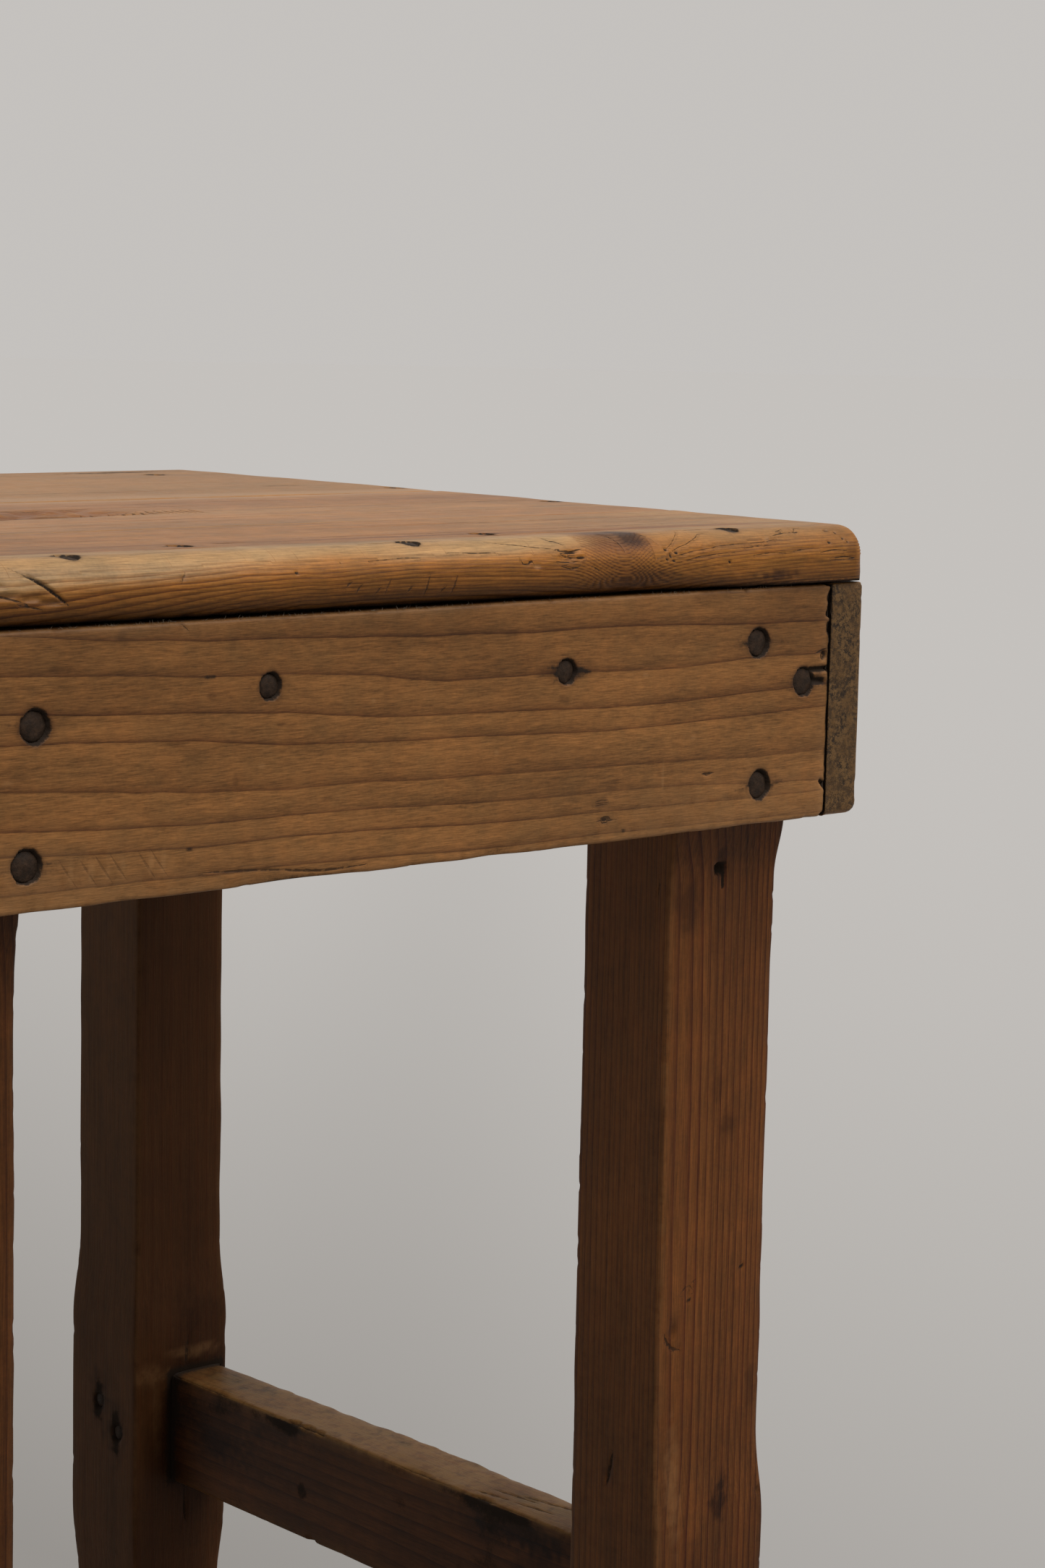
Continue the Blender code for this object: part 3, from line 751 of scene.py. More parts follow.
# The front apron's growth lines: how far below its top each lies, in millimetres, from left to right
APRON_LINE_STATIONS = (-295, -265, -235, -205, -175, -150, -120, -90, -60, -35, -5)
APRON_LINES = (
    (-1.0, -4.0, -5.2, -6.2, -7.0, -8.0, -8.6, -8.7, -9.4, -10.5, -10.9),
    (-11.0, -12.5, -14.2, -15.5, -17.5, -20.3, -20.4, -20.9, -21.4, -20.3, -20.0),
    (-20.2, -22.3, -23.4, -25.5, -28.6, -29.3, -30.2, -31.3, -31.4, -30.5, -29.8),
    (-27.8, -29.0, -30.4, -33.6, -35.1, -35.6, -36.8, -37.9, -37.8, -37.1, -36.4),
    (-38.8, -41.7, -43.9, -45.3, -45.6, -46.7, -47.3, -48.1, -48.8, -49.7, -49.5),
    (-48.8, -51.2, -52.1, -52.3, -52.8, -53.8, -54.8, -55.3, -55.8, -57.4, -58.4),
    (-55.0, -57.0, -57.8, -57.9, -58.6, -59.6, -60.5, -60.9, -61.2, -61.7, -61.5),
    (-65.0, -65.2, -65.2, -65.6, -66.0, -66.8, -67.2, -67.2, -67.5, -67.8, -68.0),
)


def front_apron_rings(skin):
    """How many growth lines lie above each place of the front apron."""
    across, behind, up = from_corner(skin)
    tops = [np.interp(across, APRON_LINE_STATIONS, line) for line in APRON_LINES]
    tops = [tops[0] + 9.0] + tops + [tops[-1] - 9.0]
    ring = np.zeros(len(skin))
    for number, (upper, lower) in enumerate(zip(tops[:-1], tops[1:])):
        share = (upper - up) / (upper - lower)
        inside = (up <= upper) & (up > lower)
        ring[inside] = number + share[inside]
    ring[up > tops[0]] = 0.0
    ring[up <= tops[-1]] = len(tops) - 1
    ring += 0.06 * behind * smooth(behind, 1.0, 4.0)
    wiggle = noise(skin, (0.022, 0.02, 0.02), 5) * 0.045 + noise(skin, (0.007, 0.01, 0.01), 6) * 0.016
    return ring + wiggle


# The nosing's uppermost growth line: its height over the apron's top, in millimetres, from left to right
NOSING_LINE_STATIONS = (-300, -260, -220, -195, -163, -130, -113, -87, -70, -50, -33, -15, 20)
NOSING_LINE_HEIGHTS = (12.6, 13.6, 14.6, 13.6, 14.3, 13.4, 12.6, 12.2, 11.4, 13.6, 14.2, 15.0, 15.3)
NOSING_RING, HEART_FROM = 1.05, 15.0
KNOT_X, KNOT_LEFT, KNOT_RIGHT, KNOT_PULL = -86.0, 12.5, 10.0, 7.6


def front_board_rings(skin):
    """Growth rings of the front board: close lines round the nosing, pulled down under the knot."""
    across, back, up = from_corner(skin, NOSING_CORNER)
    top_line = np.interp(across, NOSING_LINE_STATIONS, NOSING_LINE_HEIGHTS)
    reach = np.where(across < KNOT_X, KNOT_LEFT, KNOT_RIGHT)
    pull = np.exp(-(((across - KNOT_X) / reach) ** 2))
    seen = up + KNOT_PULL * pull * smooth(up, 0, 5) * (1 - smooth(back, 14, 30))
    depth = top_line - seen - 0.24 * np.maximum(back - 1.0, 0)
    loose = NOSING_RING * np.interp(across, (-300, -250, -200), (2.4, 1.7, 1.0))
    wiggle = 0.30 * noise(skin, (0.030, 0.006, 0.003), 3) + 0.12 * noise(skin, (0.009, 0.004, 0.002), 4)
    ring = depth / loose + wiggle + 40
    plain = np.floor((top_line - 19 - 0.24 * (HEART_FROM - 1)) / loose + 40) + 0.45
    between = (depth / loose + wiggle < 0) & ((pull < 0.25) | (back > 9))
    ring[between] = (plain + 0.4 * noise(skin, (0.09, 0.004, 0.004), 17) * smooth(back, 10, 16))[between]
    return ring, pull


# Where the rounding under the nosing changes, and its sizes there: it is sharper at the right end
NOSING_UNDERSIDE = ((CORNER.x - 60 * MM, CORNER.x - 12 * MM), (NOSING_LOW_ROUND * MM, 1.6 * MM))
# Along the nosing from left to right: the height from which its wood is pale, and up to which dirt and painted
# shade reach
NOSING_PARTS = (-300, -240, -190, -100, -60, 10)
PALE_FROM = (5.5, 8.5, 10.5, 11.0, 11.5, 12.5)
DIRT_AND_SHADE_UP_TO = (10.0, 12.0, 12.5, 11.5, 8.5, 7.5)


def make_front_board(material, wear):
    """The front board, with its nosing, its knot and the dirt and painted shade under it."""
    board = Wood(
        "front_seat_board", 0, 0.44 * MM, (shares(3), shares(40, 0.55), shares(3), shares(4)), 1.0 * MM,
        corners=(1.0 * MM, 1.0 * MM, NOSING_TOP_ROUND * MM, NOSING_UNDERSIDE),
        end_edges=(0.6 * MM, 1.0 * MM, 4.0 * MM, 5.0 * MM), arcs=(2, 2, 26, 14), cap_rings=8, seed=wear.seed,
    )
    skin = board.skin
    # The side apron's outer face stands a little past the board's right end
    skin[:, 0] -= 1.1 * MM * smooth(skin[:, 0], board.high[0] - 25 * MM, board.high[0])
    across, back, up = from_corner(skin, NOSING_CORNER)
    rings, pull = front_board_rings(skin)
    board.fields["ring"] = rings
    edge_of_heart = HEART_FROM + 2 + 3.0 * noise(skin, (0.09, 0.5, 0.5), 2)
    pale_from = np.interp(across, NOSING_PARTS, PALE_FROM)
    pale = smooth(up + 1.5 * noise(skin, (0.03, 0.01, 0.004), 15), pale_from, pale_from + 6.5)
    pale *= np.interp(across, (-110, -90, -70, 10), (1.0, 0.75, 0.7, 0.6))
    board.fields["tone"] = 0.5 * pale + 0.5 * smooth(back, edge_of_heart - 3, edge_of_heart + 2)
    line_area = 1 - smooth(up, 13.5, 15.8)
    front_part = 1 - smooth(back, 9, 14)
    board.wave(wear.waviness * 1.4, 0.06, 0.012)
    board.keep_flat(up * MM)
    relief = np.exp(-((np.mod(rings + 0.5, 1) - 0.5) / 0.22) ** 2)
    board.depth += 0.20 * MM * relief * (1 - smooth(back, 3, 12))
    # The knot: a red-brown spot with arcs round it, and dark wood where the rings are pressed together
    near_front = 1 - smooth(back, 12, 18)
    uneven = 0.18 * noise(skin, (0.006, 0.004, 0.002), 16)
    around = np.hypot((across - KNOT_X - 1) / 11.0, (up - 16.6) / 3.8) + uneven
    core = np.hypot((across - KNOT_X - 7) / 5.0, (up - 15.3) / 2.2) + uneven
    board.fields["knot"] = 1.1 * np.clip(1.6 - around, 0, 1) * near_front
    board.fields["stain"] += 0.75 * np.clip(1.3 - core, 0, 1) * near_front
    board.fields["stain"] += 0.45 * np.clip(1.3 - around, 0, 1) * near_front
    board.fields["knot"] += 0.35 * pull * line_area
    under_knot = np.hypot((across - KNOT_X - 8) / 14, (up - 5.0) / 3.5)
    board.fields["stain"] += 0.35 * np.clip(1.2 - under_knot, 0, 1) * near_front
    nested = np.exp(-(((across - KNOT_X - 6) / 22) ** 2) - ((up - 8.5) / 7) ** 2) * front_part
    board.fields["stain"] += 0.8 * nested * (relief - 0.25)
    # Dirt and painted shade gather under the nosing, further up on its left half, darkest at its lower edge by
    # the gap
    reach = np.interp(across, NOSING_PARTS, DIRT_AND_SHADE_UP_TO) + 1.2 * noise(skin, (0.03, 0.01, 0.01), 14)
    board.fields["stain"] += 0.80 * front_part * np.clip(1.05 - up / reach, 0, 1) ** 0.8
    board.fields["grime_and_shade"] += 0.6 * (1 - smooth(up, 0.2, 2.4)) * (1 - smooth(back, 7, 12))
    board.fields["grime_and_shade"] += 0.16 * np.clip(noise(skin, (0.02, 0.004, 0.003), 9) - 0.2, 0, 1) * line_area
    carve_front_board(board)
    for nail in nails_in("front_seat_nail", "batten_seat_nail"):
        board.crush_nail(nail, wear.pit_depth)
    return board.finish(material, "seat_pine")


def nosing_depth(height):
    """How far behind the nosing's front a height over the apron lies on it, in millimetres."""
    top_round, low_round = NOSING_TOP_ROUND, NOSING_LOW_ROUND
    over = min(max(height - ((SEAT_TOP - CORNER.z) / MM - top_round), 0), top_round)
    under = min(max(low_round - height, 0), low_round)
    return top_round - (top_round**2 - over**2) ** 0.5 + low_round - (low_round**2 - under**2) ** 0.5


def on_nosing(x, z):
    """A place on the nosing, from millimetres along it and over the apron."""
    return at(x, (FRONT_NOSING - CORNER.y) / MM + nosing_depth(z), z)


def on_seat(x, back):
    """A place on the seat's top, from millimetres along the nosing and back from it."""
    return at(x, (FRONT_NOSING - CORNER.y) / MM + back, (SEAT_TOP - CORNER.z) / MM)


# Cracks on the nosing: the width in millimetres, then the places that each runs through
NOSING_CRACKS = (
    (0.30, (-296, 9.2), (-290, 7.4), (-286, 6.2)), (0.25, (-289, 6.2), (-282, 4.8)),
    (0.28, (-113.5, 17.0), (-111, 16.0), (-109.6, 15.9), (-107.2, 14.9)),
    (0.16, (-134, 16.4), (-127, 15.7), (-117, 14.5), (-109, 13.7)),
    (0.30, (-112, 13.9), (-109.6, 13.3), (-105, 13.2), (-101.4, 13.6)),
    (0.22, (-110, 12.4), (-106, 11.5), (-101, 11.3)), (0.20, (-112, 10.6), (-107, 10.2), (-102, 10.6)),
    (0.16, (-110.5, 9.2), (-107, 8.3), (-104, 8.6)), (0.14, (-99, 9.0), (-96, 7.4)),
    (0.20, (-125.0, 11.6), (-124.4, 10.3), (-122.6, 10.2), (-121, 11.2), (-120.4, 10.1)),
    (0.16, (-150, 14.3), (-141, 13.9), (-133, 13.7)), (0.15, (-178, 13.0), (-166, 13.5), (-159, 13.3)),
    (0.20, (-97, 18.4), (-91, 17.7), (-87.6, 16.5), (-86, 14.6), (-85.4, 12.6)),
    (0.14, (-79, 18.4), (-74, 16.4), (-71.5, 14.0)),
    (0.11, (-69.5, 11.0), (-64.5, 12.8), (-60, 13.8), (-55, 15.3), (-52.6, 16.2), (-48.2, 16.3)),
    (0.10, (-70.4, 12.0), (-66, 14.0), (-61.5, 16.2), (-58, 17.0)),
    (0.09, (-67, 10.2), (-60, 11.6), (-48, 12.6)), (0.09, (-64, 8.8), (-56, 10.2), (-42, 10.9)),
    (0.12, (-52, 12.6), (-40, 13.2), (-31, 13.3), (-22, 13.9)),
    (0.22, (-24.5, 14.8), (-18, 15.6), (-13.6, 15.6), (-11.8, 16.5), (-9.6, 16.6)),
    (0.20, (-18, 10.3), (-11, 10.9), (-6, 10.8)), (0.15, (-38, 11.9), (-31, 12.3), (-27, 12.2)),
    (0.16, (-6, 9.6), (0, 10.2), (5, 9.8)), (0.16, (-35, 9.7), (-27, 10.2), (-21, 9.9)),
    (0.16, (-2, 7.6), (4, 8.0), (9, 7.4)), (0.16, (-21, 15.9), (-17.5, 16.4)),
)
# Ticks that run down the nosing, as the place and the heights between which each runs
NOSING_TICKS = (
    (-172.5, 7.8, 4.4), (-158.8, 8.6, 3.0), (-149.2, 7.9, 3.2), (-182.5, 6.8, 5.0), (-239, 12.2, 10.0),
    (-165, 5.6, 4.2), (-176, 5.8, 4.0), (-153.4, 5.0, 3.4), (-186, 7.6, 6.6),
)
# Pits and torn spots on the nosing: the place, the sizes along it and up, and the depth
NOSING_PITS = (
    (-105.8, 13.0, 3.4, 0.55, 1.1), (-102.5, 11.5, 2.0, 0.45, 0.7), (-69.4, 12.3, 0.8, 0.5, 0.5),
    (-68.0, 10.6, 0.6, 0.7, 0.5), (-67.0, 9.2, 0.7, 0.4, 0.4), (-69.6, 9.6, 0.5, 0.5, 0.4),
    (-65.6, 11.3, 0.6, 0.4, 0.4), (0.2, 15.6, 1.3, 0.55, 0.9), (3.2, 15.0, 0.5, 0.6, 0.7),
    (4.9, 13.2, 0.6, 0.5, 0.6), (6.4, 12.4, 0.4, 0.4, 0.5), (-44.5, 8.1, 0.6, 0.45, 0.6),
    (-203, 10.9, 0.55, 0.4, 0.5), (-187.6, 12.7, 0.5, 0.35, 0.4), (-121.6, 10.9, 0.6, 0.5, 0.5),
    (-1.6, 12.3, 0.8, 0.35, 0.4), (-12.9, 15.6, 1.2, 0.35, 0.5),
)
# Bruises on the nosing, and last the steps of its torn left end, which catch the light
NOSING_BRUISES = (
    ((-108, 11.4), (4.0, 1.6, 0.9), 0.5, 0.2, 0.0), ((-119.5, 9.7), (2.0, 1.0, 0.8), 0.4, 0.0, 0.9),
    ((-27.5, 14.1), (1.5, 0.9, 0.6), 0.4, 0.0, 0.9), ((-297, 11.0), (6.0, 1.6, 1.1), 0.7, 0.1, 0.4),
    ((-292, 8.6), (5.0, 1.6, 1.1), 0.7, 0.1, 0.4), ((-285, 7.4), (4.0, 1.6, 1.1), 0.7, 0.1, 0.4),
    ((-279, 6.4), (4.5, 1.6, 1.1), 0.7, 0.1, 0.4),
)
NOSING_STAINS = (
    ((-24, 3.6), (9, 4, 1.6), 0.5, "stain"), ((8, 9.5), (3.0, 6, 4.0), 0.45, "stain"),
    ((4, 15.6), (6.0, 4, 2.0), 0.2, "stain"),
)
# Slits on the seat's top: where each begins and ends, how far back it lies, and its width
SEAT_SLITS = (
    (-240, -212, 15.6, 0.55), (-176, -158, 9.0, 0.5), (-131, -112, 18.4, 0.45), (-62, -37, 9.2, 0.45),
    (-300, -283, 10.8, 0.35), (-118, -66, 20.5, 0.18), (-214, -196, 26.0, 0.2), (-170, -40, 33.0, 0.12),
    (-300, -180, 47.0, 0.14), (-150, -20, 61.0, 0.14), (-260, -100, 70.0, 0.12),
)


def carve_front_board(board):
    """Cracks, torn grain, pits and ticks on the front board."""
    split = ((-289.5, 15.0), (-281.5, 11.2), (-278, 8.5), (-273.6, 5.2))
    board.groove([on_nosing(x, z) for x, z in split], 0.46 * MM, 1.1 * MM, 0.9)
    cracks = [(width, 0.25, 1.0, *path) for width, *path in NOSING_CRACKS]
    for x, top, bottom in NOSING_TICKS:
        cracks.append((0.3, 0.2, 0.75, (x + 0.8, top), (x, (top + bottom) / 2), (x - 0.7, bottom)))
    pits = [((x, z), (long, tall, tall), deep, 1.3, 0.0) for x, z, long, tall, deep in NOSING_PITS]
    board.mark(on_nosing, cracks, (*pits, *NOSING_BRUISES), NOSING_STAINS)
    for start, end, back, width in SEAT_SLITS:
        slit = (width, 0.5, 1.0, (start, back), ((start + end) / 2, back + 0.6), (end, back))
        board.mark(on_seat, [slit], outward=UPWARD)
    board.stain(on_seat(-82, 12), (11, 8, 4), 0.35, "stain")


def make_inner_board(node, wear, seed):
    """The middle and the back board, whose growth lines run long and faint."""
    nosed = node.startswith("back")
    back_rounds = (NOSING_LOW_ROUND * MM, NOSING_TOP_ROUND * MM) if nosed else (1.0 * MM, 1.0 * MM)
    turn = 7.0 * MM if nosed else 1.0 * MM
    board = Wood(
        node, 0, 0.9 * MM, (shares(4), shares(110 if nosed else 96, 0.2), shares(5), shares(14)), 1.0 * MM,
        corners=(*back_rounds, 1.0 * MM, 1.0 * MM), end_edges=(1.0 * MM, turn, 4.0 * MM, 1.0 * MM),
        arcs=(8, 12, 3, 3) if nosed else (3, 3, 3, 3), cap_rings=8, seed=wear.seed + seed,
    )
    middle = (board.low + board.high) / 2
    pith = (middle[1] + 0.012 * (-1) ** seed, middle[2] - 0.045)
    board.fields["ring"] = ring_round(board.skin, 0, pith, 2.6 * MM, seed, 0.9)
    board.fields["tone"] = np.clip(0.85 + 0.3 * noise(board.skin, (0.2, 0.02, 0.02), seed), 0, 1)
    board.wave(wear.waviness * 1.6, 0.09, 0.02)
    board.rub_edges(wear.arris_wear * 0.8)
    board.keep_flat(board.skin[:, 2] - board.low[2])
    for nail in nails_in("seat_nail_middle", "seat_nail_back", "leg_seat_nail"):
        board.crush_nail(nail, wear.pit_depth)
    return board


# Long fine checks in the top of the middle and the back board: the start, the end, and how far back each lies
BOARD_CHECKS = (
    (-300, -120, 96), (-210, -30, 108), (-120, -40, 122), (-290, -240, 128), (-110, 10, 141), (-250, -90, 158),
    (-160, -60, 171), (-300, -150, 183), (-260, -60, 226), (-180, -20, 262), (-300, -190, 291), (-140, -30, 318),
)


def check_board(board):
    """The long fine checks that lie in one board's top."""
    for start, end, back in BOARD_CHECKS:
        if board.low[1] < on_seat(start, back).y < board.high[1]:
            check = (0.22, 0.2, 0.8, (start, back), ((start + end) / 2, back + 1.5), (end, back + 0.5))
            board.mark(on_seat, [check], outward=UPWARD)


def make_middle_board(material, wear):
    """The middle board, with a strip torn out of it by a knot."""
    board = make_inner_board("middle_seat_board", wear, 1)
    across, back, _ = from_corner(board.skin, NOSING_CORNER)
    # The torn strip by a knot: a ragged hollow whose near lip is dark with dirt and painted shade, then small
    # scales
    lean = 143 + (across + 215) * 0.05
    strip = (1 - smooth(across, -180, -142)) * (1 - smooth(np.abs(back - lean), 9, 17))
    ragged = np.clip(0.6 + 0.8 * noise(board.skin, (0.006, 0.003, 0.01), 41), 0, 1.3)
    board.depth += 2.2 * MM * strip * ragged
    board.fields["knot"] += 2.2 * strip * ragged
    board.fields["stain"] += 0.2 * strip * ragged
    near_lip = np.exp(-(((back - lean + 11.0) / 6.0) ** 2)) * (1 - smooth(across, -186, -166))
    near_lip *= np.clip(0.6 + noise(board.skin, (0.02, 0.004, 0.004), 42), 0, 1)
    board.fields["grime_and_shade"] += 0.9 * near_lip
    board.fields["stain"] += 1.3 * near_lip
    for x in np.arange(-172.0, -132.0, 3.3):
        board.mark(on_seat, [(0.5, 0.5, 0.9, (x - 1.2, 131), (x, 137), (x + 1.8, 143.5))], outward=UPWARD)
    # Redder wood towards the back, and the far arris pale by the joint: wear, and a painted highlight on its
    # edge
    board.fields["knot"] += 0.35 * smooth(back, 140, 158) * (1 - smooth(back, 176, 186))
    board.fields["wear"] += 1.1 * smooth(back, 178, 192)
    check_board(board)
    return board.finish(material, "seat_pine")


def make_back_board(material, wear):
    """The back board, paler along its joint: wear, and a painted highlight on the joint's edge."""
    board = make_inner_board("back_seat_board", wear, 2)
    across, back, _ = from_corner(board.skin, NOSING_CORNER)
    board.fields["wear"] += 1.2 * (1 - smooth(back, 199, 212 - 0.05 * across))
    board.stain(on_seat(-26, 328), (30, 4, 6), 0.5)
    board.stain(on_seat(-22, 236), (14, 5, 4), 0.3)
    check_board(board)
    return board.finish(material, "seat_pine")


def make_front_apron(material, wear):
    """The front apron, nailed to the legs and battens, with a ragged right end."""
    board = Wood(
        "front_apron", 0, 0.54 * MM,
        (shares(8), shares(10), shares(118), shares(9)), 1.2 * MM, (0.5 * MM,) * 4,
        arcs=(2, 3, 4, 3), cap_rings=7, seed=wear.seed + 10,
    )
    skin = board.skin
    across, _, up = from_corner(skin)
    down = -up
    board.fields["ring"] = front_apron_rings(skin)
    board.wave(wear.waviness, 0.05, 0.02)
    board.rub_edges(wear.arris_wear * 0.8)
    board.keep_flat(board.high[0] - skin[:, 0], 2.0 * MM)
    # Painted shade under the seat's edge, lighter where it is rubbed along the bottom, and clouded by old
    # varnish
    clouds = noise(skin, (0.045, 0.02, 0.014), 33)
    board.fields["stain"] += 0.22 * (1 - smooth(down, 2, 40)) + 0.14 * smooth(clouds, -0.1, 0.8)
    board.fields["stain"] += 0.55 * np.exp(-down / 1.1)
    board.fields["wear"] += 0.22 * smooth(down, 40, 66) * np.clip(0.7 + 0.6 * clouds, 0, 1)
    board.fields["wear"] += 0.25 * smooth(down, 42, 62) * np.clip(np.abs(across + 150) / 100 - 0.3, 0, 1)
    carve_front_apron(board)
    for nail in nails_in("front_apron_left_nail", "front_apron_right_nail"):
        board.crush_nail(nail, wear.pit_depth)
    for nail in nails_in("front_apron_batten_nail"):
        board.crush_nail({**nail, "streak": 0.9 if nail["node"].endswith("right") else 0.2}, wear.pit_depth)
    return board.finish(material, "apron_pine")


def on_apron(x, z):
    """A place on the front apron's face, in millimetres from its right top corner."""
    return at(x, 0, z)


# Soft marks on the front apron: the place, the sizes along and down, and the strength
APRON_SPOTS = (
    (-90.5, -63.2, 3.2, 1.6, 0.35), (-92, -58.4, 3.4, 1.8, 0.45), (-89, -52.8, 5.0, 1.2, 0.35),
    (-83, -66.8, 1.4, 0.8, 0.5), (-230, -14.6, 2.8, 0.8, 0.6), (-229.5, -19.4, 2.2, 0.8, 0.4),
    (-257, -3.0, 2.6, 2.6, 0.4), (-236, -58.2, 2.2, 0.7, 0.6), (-241, -30.9, 4.6, 0.9, 0.4),
    (-274, -10.4, 6.0, 1.2, 0.35), (-207, -28.1, 2.0, 0.7, 0.45), (-221.5, -41.6, 1.2, 2.0, 0.3),
    (-107, -28.0, 2.6, 1.6, 0.35), (-17, -19.5, 4.0, 0.8, 0.35), (-39, -60.5, 5.0, 0.8, 0.4),
    (-150, -33.0, 3.0, 0.8, 0.25), (-191, -48.6, 2.6, 0.7, 0.25), (-262, -47.0, 4.0, 0.8, 0.25),
    (-127, -8.8, 5.0, 1.0, 0.25), (-31, -12.0, 1.4, 0.8, 0.35),
)
# Pale flecks on the front apron: the place, and the sizes along and down
APRON_FLECKS = (
    (-68, -53, 0.5, 5.0), (-56, -42.2, 1.4, 0.7), (-213, -38.6, 1.2, 0.7), (-76, -22.9, 1.3, 0.7),
    (-291, -37, 2.0, 0.7), (-176, -24, 1.0, 0.7), (-132, -41, 1.2, 0.7),
)
# Short streaks on the front apron: the place, half the length, and the strength
APRON_STREAKS = (
    (-90.6, -62.4, 1.8, 0.8), (-91.4, -63.2, 2.2, 1.0), (-91.0, -64.0, 1.6, 0.9), (-88.0, -63.4, 1.8, 0.8),
    (-91.8, -57.6, 2.4, 0.6), (-92.0, -58.8, 2.8, 0.6),
)
# Cracks on the front apron: the width, depth and strength, then the places that each runs through
APRON_CRACKS = (
    (0.3, 0.25, 1.0, (-5.5, -20.4), (-3, -19.8), (-0.8, -19.2)),
    (0.4, 0.4, 1.0, (-52, -52.9), (-50, -53.3), (-48, -53.0)),
    (0.25, 0.3, 0.6, (-239.0, -0.4), (-238, -1.4), (-236.8, -2.4)),
    (0.3, 0.2, 0.8, (-232, -64.6), (-214, -65.6), (-196, -67.2)),
    (0.35, 0.3, 0.9, (-206, -66.6), (-192, -67.8), (-178, -67.6)),
)
# Hollows at the front apron's right end: torn out by the nail, a splinter left in it, and a chipped corner
APRON_DENTS = (
    ((-2.0, -21.4), (1.5, 2.0, 1.9), 1.2, 0.9, 0.0), ((-2.0, -21.4), (0.6, 2.0, 0.9), -0.7, -0.7, 0.0),
    ((0.8, -69.6), (2.8, 3.0, 2.2), 1.1, 0.2, 0.0),
)
# The two prongs of the split from the end nail, and a nick below: width, depth, dirt, then the places
APRON_SPLITS = (
    (0.7, 1.5, 1.2, (-7.4, -25.2), (-4, -25.3), (-0.6, -25.2)),
    (0.8, 1.4, 1.2, (-7.2, -28.2), (-4.5, -28.6), (-2.2, -28.9)), (0.7, 1.2, 1.1, (-1.6, -59.0), (0, -60.4)),
)
# Where a rub has left slanting scratches low on the front apron's left part
SCRATCHES = (-273.5, -267.5, -262.5, -258, -249.5, -245.5)


def carve_front_apron(board):
    """Splits, scratches and stains on the front apron's face."""
    skin = board.skin
    across, _, up = from_corner(skin)
    down = -up
    for width, depth, grime_and_shade, *path in APRON_SPLITS:
        board.groove([on_apron(x, z) for x, z in path], width * MM, depth * MM, grime_and_shade, taper=False)
    # The ragged right end, most worn at the top
    rag = np.clip(0.45 + 0.7 * noise(skin, (0.008, 0.008, 0.0016), 21) + 0.4 * noise(skin, 0.005, 22), 0, 1.4)
    top_share = 0.15 + 0.85 * (1 - smooth(down, 2, 28))
    at_end = smooth(across, -2.2, -0.5) * rag * top_share
    board.depth += 1.2 * MM * at_end
    # Painted shade and dirt in the gap beside the right apron, widest at the top
    gap = -0.1 - 1.2 * rag * top_share + 0.5 * top_share * noise(skin, 0.0018, 23)
    board.fields["grime_and_shade"] += 1.3 * smooth(across, gap - 0.25, gap + 0.25)
    cracks, stains = list(APRON_CRACKS), []
    for x, z, long, strength in APRON_STREAKS:
        cracks.append((0.24, 0.1, strength, (x - long, z - 0.1), (x, z + 0.1), (x + long, z)))
    for x in SCRATCHES:
        cracks.append((0.3, 0.12, 0.32, (x - 2.4, -57.4), (x - 0.4, -60.2), (x + 2.6, -64.2)))
        stains.append(((x + 1.4, -60.6), (1.0, 1, 3.4), 0.4, "wear"))
    for x, z, long, tall, strength in APRON_SPOTS:
        stains.append(((x, z), (long, 2, tall), strength, "stain" if strength < 0.5 else "grime_and_shade"))
    for x, z, long, tall in APRON_FLECKS:
        stains.append(((x, z), (long, 1, tall), 0.55, "wear"))
    board.mark(on_apron, cracks, APRON_DENTS, stains)
    # The torn lower edge
    torn = np.clip(noise(skin, (0.014, 0.02, 0.004), 31) + 0.25, 0, 1) * smooth(down, 65.0, 69)
    stretch = 0.35 + 0.65 * smooth(across, -222, -205) * (1 - smooth(across, -150, -120))
    board.depth += 0.6 * MM * torn * stretch
    board.fields["grime_and_shade"] += 0.5 * torn * stretch


# The right apron's rounded arrises: along it, and round its ends
RIGHT_APRON_ROUNDING = {
    "corners": (0.6 * MM, 2.2 * MM, 4.0 * MM, 0.6 * MM),
    "end_edges": (0.5 * MM, 1.0 * MM, 2.0 * MM, 2.0 * MM),
}


def make_plain_apron(node, axis, pith, wear, seed, words, corners=None, end_edges=None):
    """The back and side aprons, with broad growth lines."""
    tall, thin = shares(58), shares(12)
    sides = (tall, thin, tall, thin) if axis == 0 else (thin, tall, thin, tall)
    board = Wood(node, axis, 1.15 * MM, sides, 1.5 * MM, end_edges, corners=corners, cap_rings=18,
                 seed=wear.seed + seed)
    skin = board.skin
    board.fields["ring"] = ring_round(skin, axis, pith, 7.5 * MM, seed, 0.8, 0.14, 0.05)
    board.wave(wear.waviness * 1.3, 0.06, 0.02)
    board.rub_edges(wear.arris_wear)
    board.keep_flat(board.high[2] - skin[:, 2])
    board.fields["stain"] += 0.25 * smooth(noise(skin, (0.05, 0.05, 0.02), seed + 3), -0.2, 0.9)
    board.fields["wear"] *= 1 - 0.6 * board.fields["end"]
    for nail in nails_in(*words):
        board.crush_nail(nail, wear.pit_depth)
    return board


